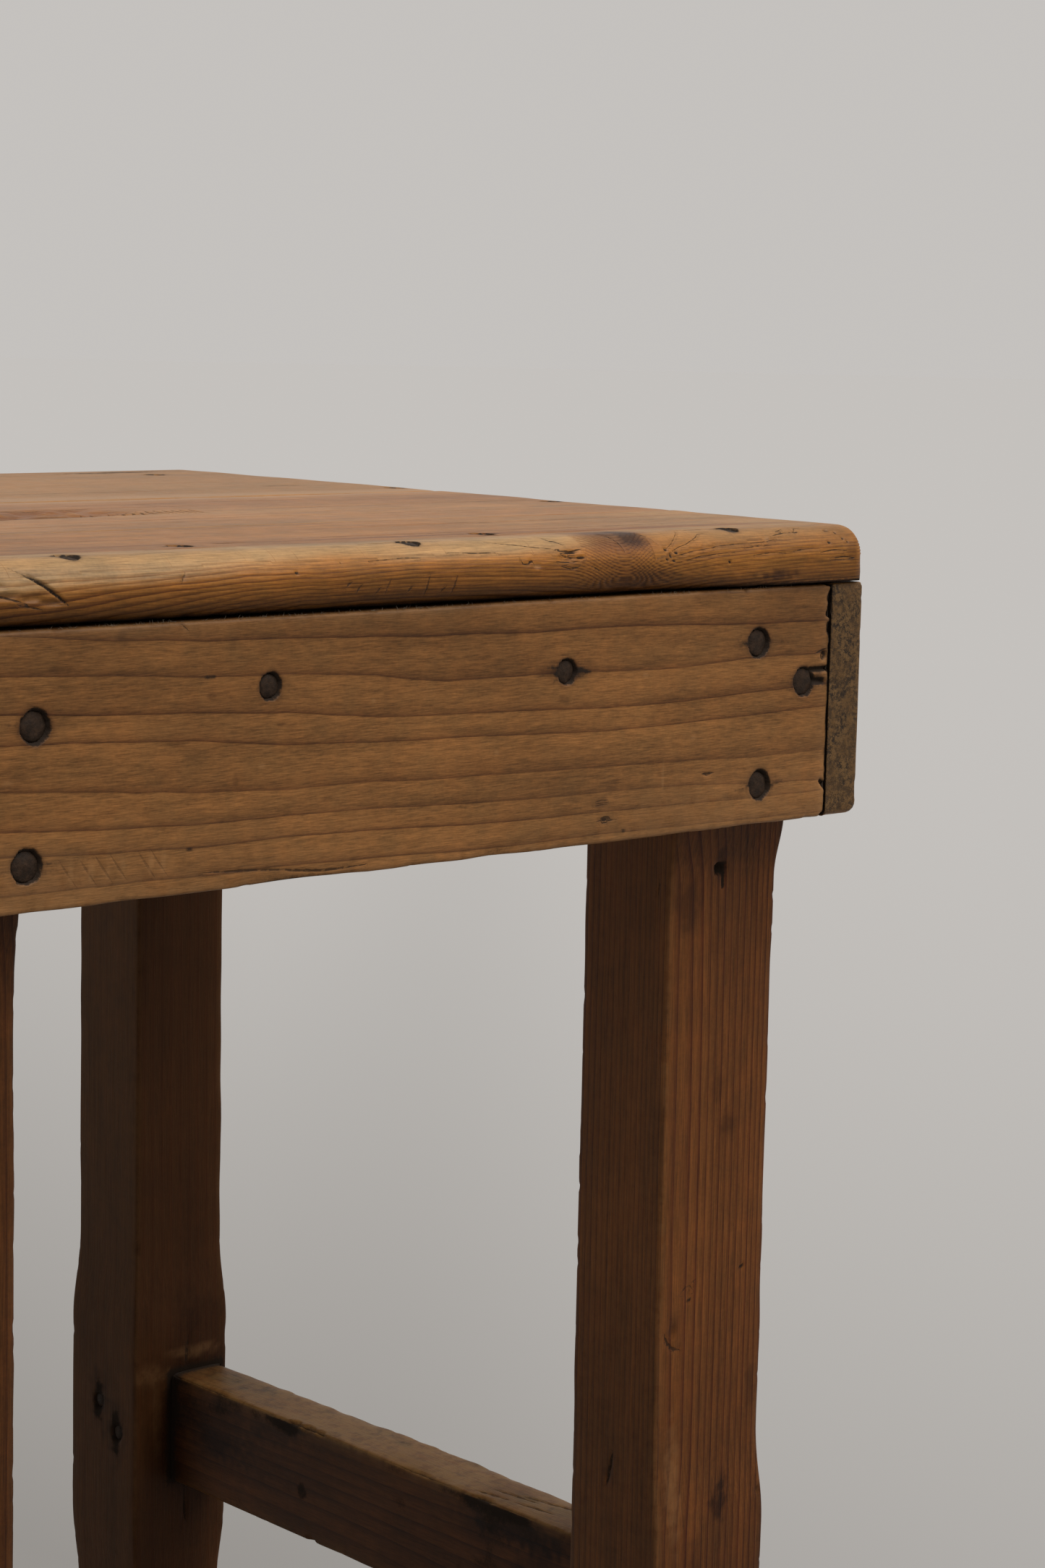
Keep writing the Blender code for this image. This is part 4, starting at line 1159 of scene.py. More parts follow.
def finish_right_end(board):
    """The right apron's front end: dirt and painted shade along the gap beside the front apron, and a rubbed
    outer arris.
    """
    from_gap = (board.skin[:, 0] - board.low[0]) / MM
    from_top = (board.high[2] - board.skin[:, 2]) / MM
    at_front = 1 - smooth(board.skin[:, 1] - board.low[1], 4 * MM, 9 * MM)
    high_up = 1 - smooth(from_top, 8, 28)
    width = 0.1 + 0.6 * high_up + (0.1 + 0.4 * high_up) * noise(board.skin, 0.003, 51)
    dark = (1 - smooth(from_gap, width - 0.2, width + 0.3)) * at_front
    board.fields["grime_and_shade"] += 1.4 * dark
    board.fields["wear"] *= 1 - (1 - smooth(from_gap, 1.5, 4)) * at_front
    board.keep_flat(board.skin[:, 0] - board.low[0], 2.0 * MM)
    margin = np.minimum(board.high[0] - board.skin[:, 0], board.skin[:, 2] - board.low[2]) / MM
    board.fields["wear"] += 0.5 * at_front * (1 - smooth(margin, 0.6, 2.2))
    board.depth += 0.8 * MM * dark


# Where a leg keeps its full size: the reach either side of a rail, and the lengths over which it flares
LEG_BLOCK_REACH, RAIL_FLARE, APRON_FLARE = 0.035, 0.032, 0.020
# How deep each leg is thinned in millimetres, on its left, right, front and back face
LEG_RELIEF = {
    "front_right_leg": (0.1, 1.8, 1.8, 0.1), "front_left_leg": (1.8, 0.3, 1.8, 0.3),
    "back_right_leg": (1.8, 1.8, 1.8, 1.8), "back_left_leg": (1.8, 1.8, 1.8, 1.8),
}


def relief_shape(height):
    """How far a leg is thinned at heights, from 0 at its joints to 1 along its shaft."""
    blocks = [(FRONT_APRON[0].z, FRONT_APRON[1].z, APRON_FLARE)]
    for rail in (RIGHT_RAIL, FOOT_RAIL):
        middle = (rail[0].z + rail[1].z) / 2
        blocks.append((middle - LEG_BLOCK_REACH, middle + LEG_BLOCK_REACH, RAIL_FLARE))
    share = np.ones(len(height))
    for low, high, flare in blocks:
        past = np.maximum(np.maximum(low - height, height - high), 0) / flare
        share = np.minimum(share, (1 - np.cos(pi * np.minimum(past, 1))) / 2)
    return share


def make_leg(node, wear, seed, fine, spacing, pith, ring_spacing):
    """A leg, thinned between its joints, with straight close grain."""
    count = int(44 * MM / spacing)
    leg = Wood(
        node, 2, 2.4 * MM, (shares(count),) * 4, 1.3 * MM, fine=fine, fine_step=1.15 * spacing, cap_rings=10,
        seed=wear.seed + seed,
    )
    height = leg.skin[:, 2]
    side = 2 * (leg.skin - leg.low) / (leg.high - leg.low) - 1
    left, right, front, back = (size * MM * relief_shape(height) for size in LEG_RELIEF[node])
    leg.skin[:, 0] += np.where(side[:, 0] < 0, left, right) * -side[:, 0]
    leg.skin[:, 1] += np.where(side[:, 1] < 0, front, back) * -side[:, 1]
    leg.fields["ring"] = ring_round(leg.skin, 2, pith, ring_spacing, seed, 0.9, 0.25, 0.016)
    leg.wave(wear.waviness * 1.2, 0.05, 0.016)
    leg.rub_edges(wear.arris_wear)
    leg.fields["wear"] *= 0.25
    leg.fields["stain"] += 0.16 * smooth(noise(leg.skin, (0.014, 0.014, 0.06), seed + 4), -0.2, 0.9)
    # Painted shade under the apron: a faint darkening down the leg and a dark line where it meets the apron
    bare = height < FRONT_APRON[0].z + MM
    under = np.maximum(FRONT_APRON[0].z - height, 0)
    leg.fields["stain"] += bare * 0.08 * np.exp(-under / 0.022)
    leg.fields["grime_and_shade"] += bare * 0.5 * np.exp(-under / (1.5 * MM))
    mark_rail_joints(leg)
    for nail in nails_in("rail"):
        inside = (leg.low - MM < nail["place"]) & (nail["place"] < leg.high + MM)
        if inside.all():
            leg.crush_nail(nail, wear.pit_depth)
            leg.stain(nail["place"], (3.6, 3.6, 9.0), 0.8)
            leg.stain(nail["place"], (7, 7, 14), 0.4, "stain")
    return leg


def mark_rail_joints(leg):
    """Dirt, painted shade and crushed wood on a leg round the ends of its rails."""
    for rail in ("front_foot_rail", "back_foot_rail", "right_side_rail", "left_side_rail"):
        low, high = (np.array(corner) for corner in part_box(rail))
        outside = np.maximum(np.maximum(low - leg.skin, leg.skin - high), 0)
        gap = np.linalg.norm(outside, axis=1)
        leg.fields["grime_and_shade"] += 1.1 * np.exp(-gap / (1.3 * MM))
        leg.fields["stain"] += 0.45 * np.exp(-gap / (7 * MM))


def face_spot(behind):
    """A function from millimetres across and up to a place on a face that lies so far behind the apron's."""
    return lambda x, z: at(x, behind, z)


# Marks on the front right leg's front: cracks as width, depth, strength and places, dents as place, sizes,
# depth, dirt and wear, and stains as place, sizes, strength and field
FRONT_LEG_CRACKS = (
    (0.55, 0.8, 1.0, (-43.8, -226.0), (-42.8, -228.6), (-40.6, -230.8), (-37.6, -231.6)),
    (0.3, 0.2, 0.8, (-37.2, -214.2), (-35.8, -212.6), (-33.6, -212.6), (-32.2, -214.4)),
    (0.25, 0.1, 0.6, (-33.2, -212.0), (-31.6, -210.6)),
)
FRONT_LEG_DENTS = (
    ((-26.4, -85.4), (2.6, 3.0, 2.2), 2.6, 2.0, 0.0), ((-41.0, -226.0), (2.0, 2, 3.0), 0.4, 0.0, 0.0),
    ((-34.2, -214.6), (1.8, 1.5, 1.5), 0.35, 0.1, 0.0), ((-33.9, -217.0), (0.8, 1.0, 0.8), 0.5, 1.2, 0.0),
    ((-11.7, -209.9), (0.9, 1.2, 0.9), 0.6, 1.2, 0.0), ((-2.6, -283.0), (1.6, 3.0, 2.0), 0.8, 0.5, 0.0),
)
FRONT_LEG_STAINS = (
    ((-26.0, -83.5), (2.6, 3, 6.5), 0.6, "stain"), ((-40.0, -224.5), (3.0, 3, 5.0), 0.5, "stain"),
    ((-20, -284), (5, 3, 7), 0.8, "stain"), ((-18, -276), (3, 3, 4), 0.4, "stain"),
    ((-19, -164), (4, 3, 5), 0.45, "stain"), ((-24, -152), (3, 3, 6), 0.35, "stain"),
    ((-6, -250), (3, 3, 9), 0.3, "stain"), ((-27, -108), (3, 3, 8), 0.2, "stain"),
    ((-39, -96), (7, 3, 9), 0.5, "stain"), ((-30, -298), (6, 3, 9), 0.3, "stain"),
    ((-39.5, -276), (4.0, 3, 26), 0.35, "wear"),
)
# The same for the back right leg's front, round the side rail's end
BACK_LEG_CRACKS = (
    (0.6, 0.8, 1.0, (-18.0, -296), (-18.6, -302), (-18.8, -307.5)),
    (0.6, 0.8, 1.0, (-19.7, -351), (-19.4, -357), (-18.9, -366)),
)
BACK_LEG_STAINS = (
    ((-35, -308), (9, 4, 4.0), 0.30, "wear"), ((-32, -325), (3, 4, 18), 0.12, "wear"),
    ((-16, -302), (14, 4, 2.4), 0.35, "wear"), ((-10, -290), (14, 4, 8), 0.15, "stain"),
)


def carve_front_right_leg(leg):
    """The old nail hole, the dents and the marks on the leg that stands at the front right."""
    left, front, _ = from_corner(leg.low)
    spot = face_spot(front + 1.8)
    leg.groove([spot(-24.4, -80.0), spot(-24.0, -85), spot(-24.6, -91.5)], 0.5 * MM, 1.1 * MM, 1.3)
    leg.mark(spot, FRONT_LEG_CRACKS, FRONT_LEG_DENTS, FRONT_LEG_STAINS)
    # Painted shade: the leg darkens towards its foot
    drop = (CORNER.z - leg.skin[:, 2]) / MM
    leg.fields["stain"] += 0.36 * smooth(drop, 180, 290)
    # Painted light: the left face is lightened
    leg.fields["wear"] += 0.15 * (1 - smooth(leg.skin[:, 0] - leg.low[0], 1 * MM, 3 * MM))
    left += 0.1
    cracks = (
        (0.8, 0.8, 1.0, (left, 35.6, -267), (left, 36.6, -272), (left, 37.8, -277.5)),
        (0.5, 0.3, 0.6, (left, 21.5, -88), (left, 22.2, -92)),
    )
    leg.mark(at, cracks, stains=[((left, 37, -272), (3, 3, 6), 0.4, "stain")], outward=LEFTWARD)


def carve_back_right_leg(leg):
    """The cracks over and under the side rail's end, the paler wood round it, and painted shade on its front."""
    on_front = 1 - smooth(leg.skin[:, 1] - leg.low[1], 1 * MM, 4 * MM)
    on_left = 1 - smooth(leg.skin[:, 0] - leg.low[0], 1 * MM, 4 * MM)
    leg.fields["wear"] += 0.12 * on_left * smooth(leg.skin[:, 2], CORNER.z - 0.31, CORNER.z - 0.24)
    # Painted shade: the front face is darkened and reddened
    leg.fields["stain"] += 0.42 * on_front
    leg.fields["knot"] += 0.25 * on_front
    leg.mark(face_spot(from_corner(leg.low)[1]), BACK_LEG_CRACKS, stains=BACK_LEG_STAINS)


def make_rail(node, axis, shoulders, wear, seed, spacing):
    """A tenoned rail, its upper arrises worn by feet."""
    thick, tall = shares(int(23 / spacing)), shares(int(41 / spacing))
    sides = (thick, tall, thick, tall) if axis == 1 else (tall, thick, tall, thick)
    reach = shoulders[0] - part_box(node)[0][axis]
    rail = Wood(
        node, axis, spacing * MM, sides, 1.5 * MM, end_edges=(0.3 * MM,) * 4, cap_rings=6,
        seed=wear.seed + seed,
        tenon={"from": shoulders[0], "to": shoulders[1], "reach": reach, "slim": 6 * MM},
    )
    skin = rail.skin
    middle = (rail.low + rail.high) / 2
    across = 1 - axis
    pith = (middle[across] - 0.05, middle[2] - 0.03)
    rail.fields["ring"] = ring_round(skin, axis, pith, 3.2 * MM, seed, 0.7, 0.1, 0.02)
    rail.fields["end"][:] = 0
    rail.wave(wear.waviness * 1.4, 0.05, 0.012)
    rail.rub_edges(wear.arris_wear * 0.8)
    from_top = rail.high[2] - skin[:, 2]
    side = np.minimum(skin[:, across] - rail.low[across], rail.high[across] - skin[:, across])
    crown = np.exp(-np.hypot(np.maximum(from_top, 0), side) / (2.6 * MM))
    uneven = 0.9 * noise(skin, 0.026, seed + 6) + 0.35 * noise(skin, 0.006, seed + 12)
    scallops = np.clip(0.3 + uneven, 0, 1.3)
    rail.depth += 1.5 * MM * crown * scallops
    top = 1 - smooth(from_top, 0.5 * MM, 2.0 * MM)
    rubbed = np.clip(0.75 + 0.5 * noise(skin, 0.02, seed + 7), 0, 1)
    rail.fields["wear"] += 1.5 * top * rubbed + 0.5 * crown
    spots = smooth(noise(skin, 0.006, seed + 8), 0.35, 0.75) * smooth(noise(skin, 0.025, seed + 9), -0.1, 0.5)
    rail.fields["stain"] += 0.4 * top * spots
    under = (1 - top) * (0.2 + 0.8 * smooth(noise(skin, (0.02, 0.02, 0.008), seed + 10), -0.3, 0.8))
    rail.fields["stain"] += 0.55 * under
    # Darker towards the ends, and painted shade nearly black at them where the rail meets the legs
    ends = np.minimum(skin[:, axis] - shoulders[0], shoulders[1] - skin[:, axis])
    rail.fields["stain"] += 0.6 * np.exp(-np.maximum(ends, 0) / 0.012)
    rail.fields["wear"] *= 1 - 0.8 * np.exp(-np.maximum(ends, 0) / 0.045)
    rail.fields["grime_and_shade"] += 1.3 * np.exp(-np.maximum(ends, 0) / (2.6 * MM))
    patches = noise(skin, (0.022, 0.022, 0.012), seed + 13) + 0.4 * noise(skin, 0.005, seed + 14)
    rail.fields["grime_and_shade"] += 0.42 * smooth(patches, 0.15, 0.75) * (1 - top)
    below = np.exp(-np.maximum(from_top - 2 * MM, 0) / (4 * MM)) * (1 - top)
    rail.fields["grime_and_shade"] += 0.7 * below * np.clip(0.2 + noise(skin, (0.016, 0.016, 0.005), seed + 15), 0, 1)
    return rail


# Soft smudges on the right side rail's top: the place, the sizes across and along, and the strength
RAIL_SMUDGES = (
    (-12, 268, 3.0, 5.5, 0.9), (-9.5, 252, 2.4, 7.0, 0.8), (-10, 236, 1.4, 4.0, 0.5),
    (-9.3, 218.5, 2.2, 5.0, 0.7), (-8.0, 188, 4.0, 11.0, 0.6), (-10.8, 175, 2.2, 5.5, 0.9),
    (-5, 142, 3.0, 9.0, 0.6), (-15, 190, 2.0, 10.0, 0.3), (-12, 258, 9.0, 26.0, 0.6),
    (-15, 107, 4.0, 9.0, 0.8), (-14, 92, 4.0, 8.0, 0.8), (-3, 118, 3.0, 9.0, 0.6), (-20, 240, 2.5, 14.0, 0.4),
)
# The same on its left face: the place along and up, the sizes along and up, and the strength
RAIL_SIDE_SMUDGES = (
    (262, -322, 26, 13, 0.5), (217, -311.5, 9, 2.2, 0.9), (228, -315, 16, 6, 0.5), (100, -315, 32, 6, 0.8),
    (88, -330, 16, 14, 0.5), (236, -328, 12, 9, 0.3),
)
# Chips along its upper left arris: the place, the length and the depth
RAIL_CHIPS = ((217, 3.6, 1.6), (210, 5.0, 1.9), (203, 3.0, 1.3), (262, 5, 0.8), (150, 8, 0.9), (118, 6, 1.0))
# Cracks in its top near the front leg: the place across and along, and half the length
RAIL_CRACKS = ((-17, 112, 9), (-14, 104, 7), (-20, 100, 8), (-12, 94, 6), (-22, 118, 7))


def carve_right_rail(rail):
    """The chipped arris and the dark spots on the side rail at the right."""
    near, top = from_corner(rail.low)[0], from_corner(rail.high)[2]
    cracks = [
        (0.5, 0.5, 0.7, (x, y + long, top), (x + 1.2, y, top), (x + 2.0, y - long, top))
        for x, y, long in RAIL_CRACKS
    ]
    dents = [((near + 0.6, y, top - 0.4), (2.2, long, 1.7), deep, 0.5, 0.0) for y, long, deep in RAIL_CHIPS]
    dents.append(((near + 1.0, 206.9, -348.5), (2.4, 3.0, 1.6), 1.0, 0.3, 0.0))
    stains = [
        ((-12, 268, top), (2.0, 4.0, 2.0), 0.25, "grime_and_shade"),
        ((-10, 175.5, top), (1.6, 4.0, 2.0), 0.25, "grime_and_shade"),
        ((near, 212, -332.3), (2, 4.0, 3.4), 0.6, "grime_and_shade"),
    ]
    for x, y, wide, long, strength in RAIL_SMUDGES:
        stains.append(((x, y, top), (wide, long, 2.0), strength, "stain"))
    for y, z, long, tall, strength in RAIL_SIDE_SMUDGES:
        stains.append(((near, y, z), (3, long, tall), strength, "stain"))
    rail.mark(at, cracks, dents, stains, UPWARD)


def make_batten(node, material, wear, seed):
    """A batten, rough and clean, as it never was touched."""
    batten = Wood(
        node, 1, 1.6 * MM, (shares(22), shares(26)) * 2, 1.0 * MM, arcs=(3, 3, 3, 3), cap_rings=8,
        seed=wear.seed + seed,
    )
    middle = (batten.low + batten.high) / 2
    pith = (middle[0] + 0.02, middle[2] - 0.05)
    batten.fields["ring"] = ring_round(batten.skin, 1, pith, 4.2 * MM, seed, 0.6)
    batten.wave(wear.waviness * 1.5, 0.05, 0.012)
    batten.rub_edges(wear.arris_wear * 0.5)
    return batten.finish(material, "batten_pine")


# What repeats, made with Geometry Nodes

def geometry_tree(name, inputs):
    """A Geometry Nodes tree with a geometry in and out and named inputs."""
    tree = bpy.data.node_groups.new(name, "GeometryNodeTree")
    tree.interface.new_socket("Geometry", in_out="INPUT", socket_type="NodeSocketGeometry")
    for socket, kind in inputs.items():
        tree.interface.new_socket(socket, in_out="INPUT", socket_type="NodeSocket" + kind)
    tree.interface.new_socket("Geometry", in_out="OUTPUT", socket_type="NodeSocketGeometry")
    nodes = Nodes(tree)
    entry = nodes.add("NodeGroupInput")
    return tree, nodes, entry.outputs


def run_geometry_nodes(obj, tree, values):
    """Runs a tree on an object's points and returns the result as a plain mesh object of the same name."""
    modifier = obj.modifiers.new("nodes", "NODES")
    modifier.node_group = tree
    for item in tree.interface.items_tree:
        if item.in_out == "INPUT" and item.name in values:
            modifier[item.identifier] = values[item.name]
    graph = bpy.context.evaluated_depsgraph_get()
    mesh = bpy.data.meshes.new_from_object(obj.evaluated_get(graph))
    name = obj.name
    obj.modifiers.remove(modifier)
    bpy.data.objects.remove(obj)
    made = bpy.data.objects.new(name, mesh)
    bpy.context.scene.collection.objects.link(made)
    return made


def point_object(name, places, vectors):
    """An object of loose points that each carry an outward direction."""
    mesh = bpy.data.meshes.new(name + "_points")
    mesh.from_pydata([tuple(place) for place in places], [], [])
    mesh.attributes.new("outward", "FLOAT_VECTOR", "POINT").data.foreach_set("vector", np.ravel(vectors))
    obj = bpy.data.objects.new(name, mesh)
    bpy.context.scene.collection.objects.link(obj)
    return obj


def nail_tree():
    """Turned nails on points: a domed, dented head on a tapering shank, driven against the outward way."""
    head_part = 0.34
    tree, n, given = geometry_tree("driven_nails", {
        "Head Radius": "Float", "Head Height": "Float", "Shank Radius": "Float", "Length": "Float",
        "Dome": "Float", "Dent": "Float", "Sides": "Int", "Seed": "Int", "Material": "Material",
    })
    body = n.add("GeometryNodeMeshCylinder", {
        "Vertices": given["Sides"], "Side Segments": 24, "Fill Segments": 4, "Radius": 1.0, "Depth": 1.0,
    }, fill_type="TRIANGLE_FAN")
    place = n.add("GeometryNodeInputPosition").outputs[0]
    parts = n.add("ShaderNodeSeparateXYZ", {"Vector": place}).outputs
    down = n.math("SUBTRACT", 0.5, parts[2])
    # Rings crowd into the head: the first third of them makes it
    head, shank = (
        n.add("ShaderNodeMapRange", {"Value": down, "From Min": start, "From Max": end})
        for start, end in ((0.0, head_part), (head_part, 1.0))
    )
    head_share, shank_share = head.outputs["Result"], shank.outputs["Result"]
    in_shank = n.math("GREATER_THAN", down, head_part + 0.005)
    shoulder = n.math("SQRT", n.math("SUBTRACT", 1.0, n.math("POWER", n.math("SUBTRACT", 1.0, n.math(
        "MINIMUM", n.math("MULTIPLY", head_share, 2.6), 1.0)), 2.0)))
    head = n.math("MULTIPLY", given["Head Radius"], n.math("MULTIPLY_ADD", shoulder, 0.14, 0.86))
    taper = n.ramp(shank_share, 0.82, 1.0, 1.0, 0.12)
    shank = n.math("MULTIPLY", given["Shank Radius"], taper)
    radius = n.math("ADD", n.math("MULTIPLY", head, n.math("SUBTRACT", 1.0, in_shank)), n.math(
        "MULTIPLY", shank, in_shank))
    squares = [n.math("POWER", part, 2.0) for part in (parts[0], parts[1])]
    out_from_axis = n.math("SQRT", n.math("ADD", *squares))
    on_top = n.math("LESS_THAN", down, 0.001)
    hollow = n.math("MULTIPLY", n.math("POWER", out_from_axis, 2.0), on_top)
    dome = n.math("MULTIPLY", given["Dome"], n.math("SUBTRACT", on_top, hollow))
    shank_length = n.math("SUBTRACT", given["Length"], given["Head Height"])
    depth = n.math("ADD", n.math("MULTIPLY", head_share, given["Head Height"]), n.math(
        "MULTIPLY", shank_share, shank_length))
    z = n.math("SUBTRACT", n.math("SUBTRACT", dome, given["Dome"]), depth)
    turned = n.add("ShaderNodeCombineXYZ", {
        "X": n.math("MULTIPLY", parts[0], radius), "Y": n.math("MULTIPLY", parts[1], radius), "Z": z,
    }).outputs[0]
    shaped = n.add("GeometryNodeSetPosition", {"Geometry": body.outputs[0], "Position": turned}).outputs[0]
    outward = n.add("GeometryNodeInputNamedAttribute", data_type="FLOAT_VECTOR")
    outward.inputs["Name"].default_value = "outward"
    turn = n.add("FunctionNodeAlignRotationToVector", {"Vector": outward.outputs["Attribute"]}, axis="Z")
    size = n.add("FunctionNodeRandomValue", {"Seed": given["Seed"]}, data_type="FLOAT_VECTOR")
    size.inputs[0].default_value, size.inputs[1].default_value = (0.93, 0.95, 1.0), (1.02, 1.04, 1.0)
    copies = n.add("GeometryNodeInstanceOnPoints", {
        "Points": given["Geometry"], "Instance": shaped, "Rotation": turn.outputs[0], "Scale": size.outputs[0],
    })
    real = n.add("GeometryNodeRealizeInstances", {"Geometry": copies.outputs[0]}).outputs[0]
    here = n.add("GeometryNodeInputPosition").outputs[0]
    bumps = n.add("ShaderNodeTexNoise", {"Vector": here, "Scale": 310.0, "Detail": 2.0}).outputs["Color"]
    centred = n.add("ShaderNodeVectorMath", {0: bumps, 1: (0.5, 0.5, 0.5)}, operation="SUBTRACT").outputs[0]
    offset = n.add("ShaderNodeVectorMath", {0: centred, "Scale": given["Dent"]}, operation="SCALE").outputs[0]
    dented = n.add("GeometryNodeSetPosition", {"Geometry": real, "Offset": offset}).outputs[0]
    smoothed = n.add("GeometryNodeSetShadeSmooth", {"Geometry": dented}).outputs[0]
    finished = n.add("GeometryNodeSetMaterial", {"Geometry": smoothed, "Material": given["Material"]}).outputs[0]
    n.add("NodeGroupOutput", {"Geometry": finished})
    return tree


def fibre_tree():
    """Short bent fibres on points, pointing outwards in uneven directions."""
    tree, n, given = geometry_tree("gap_fibres", {
        "Length": "Float", "Radius": "Float", "Seed": "Int", "Material": "Material"})
    curve = n.add("GeometryNodeCurveQuadraticBezier", {
        "Resolution": 4, "Start": (0, 0, 0), "Middle": (0.1, 0.05, 0.5), "End": (0.45, 0.1, 1.0)}).outputs[0]
    share = n.add("GeometryNodeSplineParameter").outputs["Factor"]
    thin = n.math("MULTIPLY_ADD", share, -0.8, 1.0)
    tapered = n.add("GeometryNodeSetCurveRadius", {"Curve": curve, "Radius": thin}).outputs[0]
    ring = n.add("GeometryNodeCurvePrimitiveCircle", {"Resolution": 3, "Radius": given["Radius"]}).outputs[0]
    hair = n.add("GeometryNodeCurveToMesh", {"Curve": tapered, "Profile Curve": ring, "Fill Caps": True})
    if "Scale" in hair.inputs:
        n.feed(hair.inputs["Scale"], thin)
    turn = n.add("FunctionNodeRandomValue", {"Seed": given["Seed"]}, data_type="FLOAT_VECTOR")
    turn.inputs[0].default_value, turn.inputs[1].default_value = (0.1, -1.0, 0.0), (1.5, 1.0, 2 * pi)
    size = n.add("FunctionNodeRandomValue", {"Seed": given["Seed"]}, data_type="FLOAT")
    size.inputs[2].default_value, size.inputs[3].default_value = 0.25, 1.0
    reach = n.math("MULTIPLY", size.outputs[1], given["Length"])
    copies = n.add("GeometryNodeInstanceOnPoints", {
        "Points": given["Geometry"], "Instance": hair.outputs[0], "Rotation": turn.outputs[0], "Scale": reach,
    })
    real = n.add("GeometryNodeRealizeInstances", {"Geometry": copies.outputs[0]}).outputs[0]
    finished = n.add("GeometryNodeSetMaterial", {"Geometry": real, "Material": given["Material"]}).outputs[0]
    n.add("NodeGroupOutput", {"Geometry": finished})
    return tree


# The operators

class HIGHSTOOL_OT_seat(Operator):
    """Make the three worn boards of the seat"""

    bl_idname = "high_stool.make_seat"
    bl_label = "Seat Boards"

    def execute(self, context):
        shared_groups()
        finish, wear = context.scene.stool_finish, context.scene.stool_wear
        nosing = pine_material(
            "seat_nosing_pine", 0, finish.nosing, finish.seat_line, finish, line_width=0.34,
            line_strength=1.5, shade_ramp=0.15, tones=(finish.sapwood, finish.heartwood), fibre=0.8,
            ring_wander=0.22, roughness=0.44, shine=0.17,
        )
        middle = pine_material(
            "seat_middle_pine", 0, finish.sapwood, finish.seat_line, finish, line_width=0.4,
            line_strength=0.26, shade_ramp=0.14, tones=(finish.heartwood,), fibre=0.7, ring_wander=0.4,
            roughness=0.42, shine=0.2,
        )
        back = pine_material(
            "seat_back_pine", 0, finish.seat_back, finish.seat_line, finish, line_width=0.4,
            line_strength=0.2, shade_ramp=0.12, fibre=0.5, ring_wander=0.4, roughness=0.42, shine=0.2,
        )
        make_front_board(nosing, wear)
        make_middle_board(middle, wear)
        make_back_board(back, wear)
        return {"FINISHED"}


class HIGHSTOOL_OT_aprons(Operator):
    """Make the four nailed aprons under the seat"""

    bl_idname = "high_stool.make_aprons"
    bl_label = "Aprons"

    def execute(self, context):
        shared_groups()
        finish, wear = context.scene.stool_finish, context.scene.stool_wear
        along_x = pine_material(
            "apron_pine_wide", 0, finish.apron, finish.apron_line, finish, line_width=0.055,
            line_strength=0.82, shade_ramp=0.5, fibre=0.8, ring_wander=0.05, fibre_stretch=10, shine=0.15,
        )
        along_y = pine_material(
            "apron_pine_side", 1, finish.apron, finish.apron_line, finish, line_width=0.06,
            line_strength=0.6, shade_ramp=0.4, fibre=0.9, ring_wander=0.06, shine=0.15,
        )
        make_front_apron(along_x, wear)
        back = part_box("back_apron")
        words = ("back_apron_left_nail", "back_apron_right_nail", "back_apron_batten_nail")
        board = make_plain_apron("back_apron", 0, (back[1].y + 0.06, back[0].z + 0.02), wear, 11, words)
        board.finish(along_x, "apron_pine")
        for side, sign in (("left", -1), ("right", 1)):
            low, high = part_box(side + "_apron")
            pith = ((low.x + high.x) / 2 + sign * 0.07, low.z + 0.03)
            words = (side + "_apron_front_nail", side + "_apron_back_nail")
            rounding = RIGHT_APRON_ROUNDING if side == "right" else {}
            board = make_plain_apron(side + "_apron", 1, pith, wear, 13 + sign, words, **rounding)
            if side == "right":
                finish_right_end(board)
            board.finish(along_y, "apron_pine")
        return {"FINISHED"}


# Each leg: its grid, the spacing of its growth lines, and how far its pith lies to the left and behind, in mm
LEG_GRAIN = {
    "front_right_leg": (0.98, 1.9, 56.3, 60), "front_left_leg": (1.5, 2.1, 48, 70),
    "back_right_leg": (1.4, 2.6, 60, 52), "back_left_leg": (1.6, 2.4, 52, 66),
}


class HIGHSTOOL_OT_legs(Operator):
    """Make the four legs, thinned between their joints"""

    bl_idname = "high_stool.make_legs"
    bl_label = "Legs"

    def execute(self, context):
        shared_groups()
        finish, wear = context.scene.stool_finish, context.scene.stool_wear
        warm = pine_material(
            "leg_pine_warm", 2, finish.leg, finish.leg_line, finish, line_width=0.24, line_strength=1.2,
            shade_ramp=0.3, fibre=0.9, ring_wander=0.2, fibre_stretch=30, shine=0.12)
        dull = pine_material(
            "leg_pine_dull", 2, finish.leg_dull, finish.leg_line, finish, line_width=0.3, line_strength=0.3,
            shade_ramp=0.2, fibre=0.55, ring_wander=0.25, fibre_stretch=30, roughness=0.56, shine=0.08)
        seen = [(0.30, FRONT_APRON[0].z)]
        for number, (node, (spacing, ring_spacing, left, behind)) in enumerate(LEG_GRAIN.items()):
            low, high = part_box(node)
            pith = (low.x - left * MM, high.y + behind * MM)
            leg = make_leg(node, wear, 20 + number, seen, spacing * MM, pith, ring_spacing * MM)
            if node == "front_right_leg":
                carve_front_right_leg(leg)
            if node == "back_right_leg":
                carve_back_right_leg(leg)
            if node == "front_left_leg":
                leg.fields["stain"] += 0.5
            leg.finish(warm if node.startswith("front") else dull, "leg_pine")
        return {"FINISHED"}


